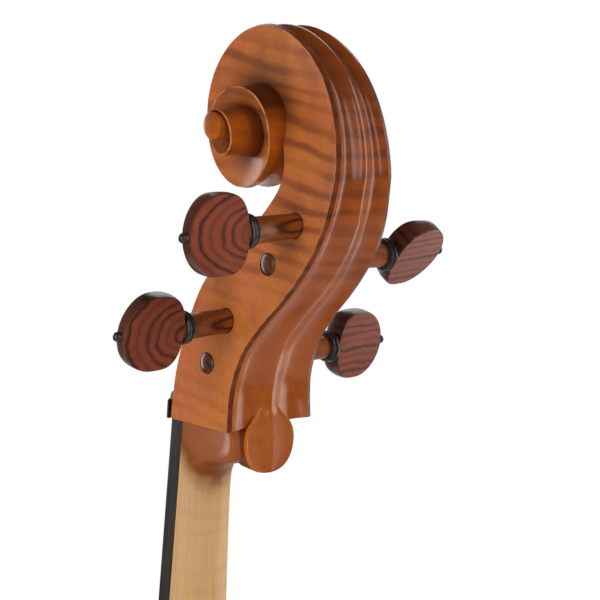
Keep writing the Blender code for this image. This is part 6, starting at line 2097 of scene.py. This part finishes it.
def studio_world():
    """White behind the object; reflections see a white sweep behind it and a dim room on the photo's side."""
    world = bpy.data.worlds.new("studio")
    bpy.context.scene.world = world
    world.use_nodes = True
    nodes = Nodes(world.node_tree)
    direction = nodes.node("ShaderNodeTexCoord", output="Generated")
    away = nodes.node(
        "ShaderNodeVectorMath", {"operation": "DOT_PRODUCT"}, {0: direction, 1: -PHOTO_SIDE}, output="Value"
    )
    sweep = nodes.step(away, *SWEEP)
    seen = nodes.node("ShaderNodeLightPath", output="Is Camera Ray")
    clear = nodes.node("ShaderNodeLightPath", output="Is Transmission Ray")
    mirrored = nodes.node("ShaderNodeLightPath", output="Is Glossy Ray")
    plain = seen.math("MAXIMUM", seen, clear)
    room, room_rise = ROOM_LIGHT
    shown, shown_rise = ROOM_MIRRORED
    soft = (1 - mirrored) * (sweep * room_rise + room) + mirrored * (sweep * shown_rise + shown)
    level = plain + (1 - plain) * soft
    nodes.feed(world.node_tree.nodes["Background"].inputs["Strength"], level)
    nodes.feed(world.node_tree.nodes["Background"].inputs["Color"], WHITE)


def make_floor():
    """A pale floor that holds the shadow near the object and runs out to white."""
    bm = bmesh.new()
    bmesh.ops.create_circle(bm, cap_ends=True, segments=FLOOR_SIDES, radius=FLOOR_RADIUS)
    mesh = bpy.data.meshes.new("studio_floor")
    moved(bm, (0, 0, CAD_BOX[0][2])).to_mesh(mesh)
    bm.free()
    finish = Finish("studio_floor", {"Base Color": FLOOR_TONE, "Roughness": 0.9})
    x, y, _ = finish.split(finish.node("ShaderNodeTexCoord", output="Object"))
    away = finish.step((x * x + y * y) ** 0.5, *FLOOR_FADE)
    seen = finish.node("ShaderNodeLightPath", output="Is Camera Ray")
    mirrored = finish.node("ShaderNodeLightPath", output="Is Glossy Ray")
    glow = finish.node("ShaderNodeEmission", inputs={"Color": WHITE, "Strength": 1.0})
    plain = Signal(finish, finish.shader.outputs[0])
    blended = finish.node("ShaderNodeMixShader", inputs={0: away * (seen + mirrored), 1: plain, 2: glow})
    finish.feed(finish.tree.nodes["Material Output"].inputs["Surface"], blended)
    mesh.materials.append(finish.material)
    floor = bpy.data.objects.new("studio_floor", mesh)
    bpy.context.scene.collection.objects.link(floor)


def add_softbox(name, place, aim, size, power):
    lamp = bpy.data.lights.new(name, "AREA")
    lamp.shape = "RECTANGLE"
    lamp.size, lamp.size_y = size
    lamp.energy = power
    made = bpy.data.objects.new(name, lamp)
    made.location = place
    made.rotation_euler = (Vector(place) - Vector(aim)).to_track_quat("Z", "Y").to_euler()
    made.visible_camera = False
    bpy.context.scene.collection.objects.link(made)


def make_camera():
    camera = bpy.data.cameras.new("photo_camera")
    camera.lens = CAMERA_LENS
    camera.sensor_width = CAMERA_SENSOR
    camera.clip_start = CAMERA_NEAR
    made = bpy.data.objects.new("photo_camera", camera)
    axes = Matrix((CAMERA_RIGHT, CAMERA_UP, CAMERA_BACK)).transposed()
    turn = NECK.to_3x3() * (1 / MM) @ axes
    made.matrix_world = Matrix.Translation(NECK @ Vector(CAMERA_PLACE)) @ turn.to_4x4()
    bpy.context.scene.collection.objects.link(made)
    bpy.context.scene.camera = made


NECK_EBONY = ebony("neck_ebony", NECK)
BLACK = ebony("turned_ebony", NECK, 0.15, 0.05)
BODY_EBONY = ebony("body_ebony", BODY)
STRING_STEEL = wound_string("wound_string_steel", (0.62, 0.61, 0.60))
BRIGHT_STEEL = steel("bright_steel_polished", (0.66, 0.66, 0.67), 0.2)
BARE_SPRUCE = bare_wood("bare_spruce_inside", (0.66, 0.46, 0.25), (0.50, 0.31, 0.14))
INLAY = [
    bare_wood("inlay_black", (0.012, 0.010, 0.009), (0.03, 0.022, 0.018)),
    bare_wood("inlay_pale", (0.50, 0.30, 0.13), (0.36, 0.19, 0.07)),
]

make_camera()
make_neck()
make_fingerboard(NECK_EBONY)
make_nut(NECK_EBONY)
make_pegs(BLACK)
make_strings(STRING_STEEL)
make_front([plate_spruce("front_spruce")] + INLAY + [BARE_SPRUCE])
make_back([plate_maple("back_maple")] + INLAY + [BARE_SPRUCE])
make_ribs(rib_maple("rib_maple"))
make_bridge(bridge_maple("bridge_maple_quartered"))
make_tailpiece(ebony("tail_ebony", TAIL))
make_tuners(BRIGHT_STEEL)
make_saddle(BODY_EBONY)
make_tail_cord(braided_cord("tail_cord_braid"))
make_endpin(BODY_EBONY, BRIGHT_STEEL, foot_rubber("tip_rubber"))
finish_inner_pieces(BARE_SPRUCE)
studio_world()
make_floor()
for box in SOFTBOXES:
    add_softbox(*box)

bpy.context.scene.view_settings.view_transform = "Standard"
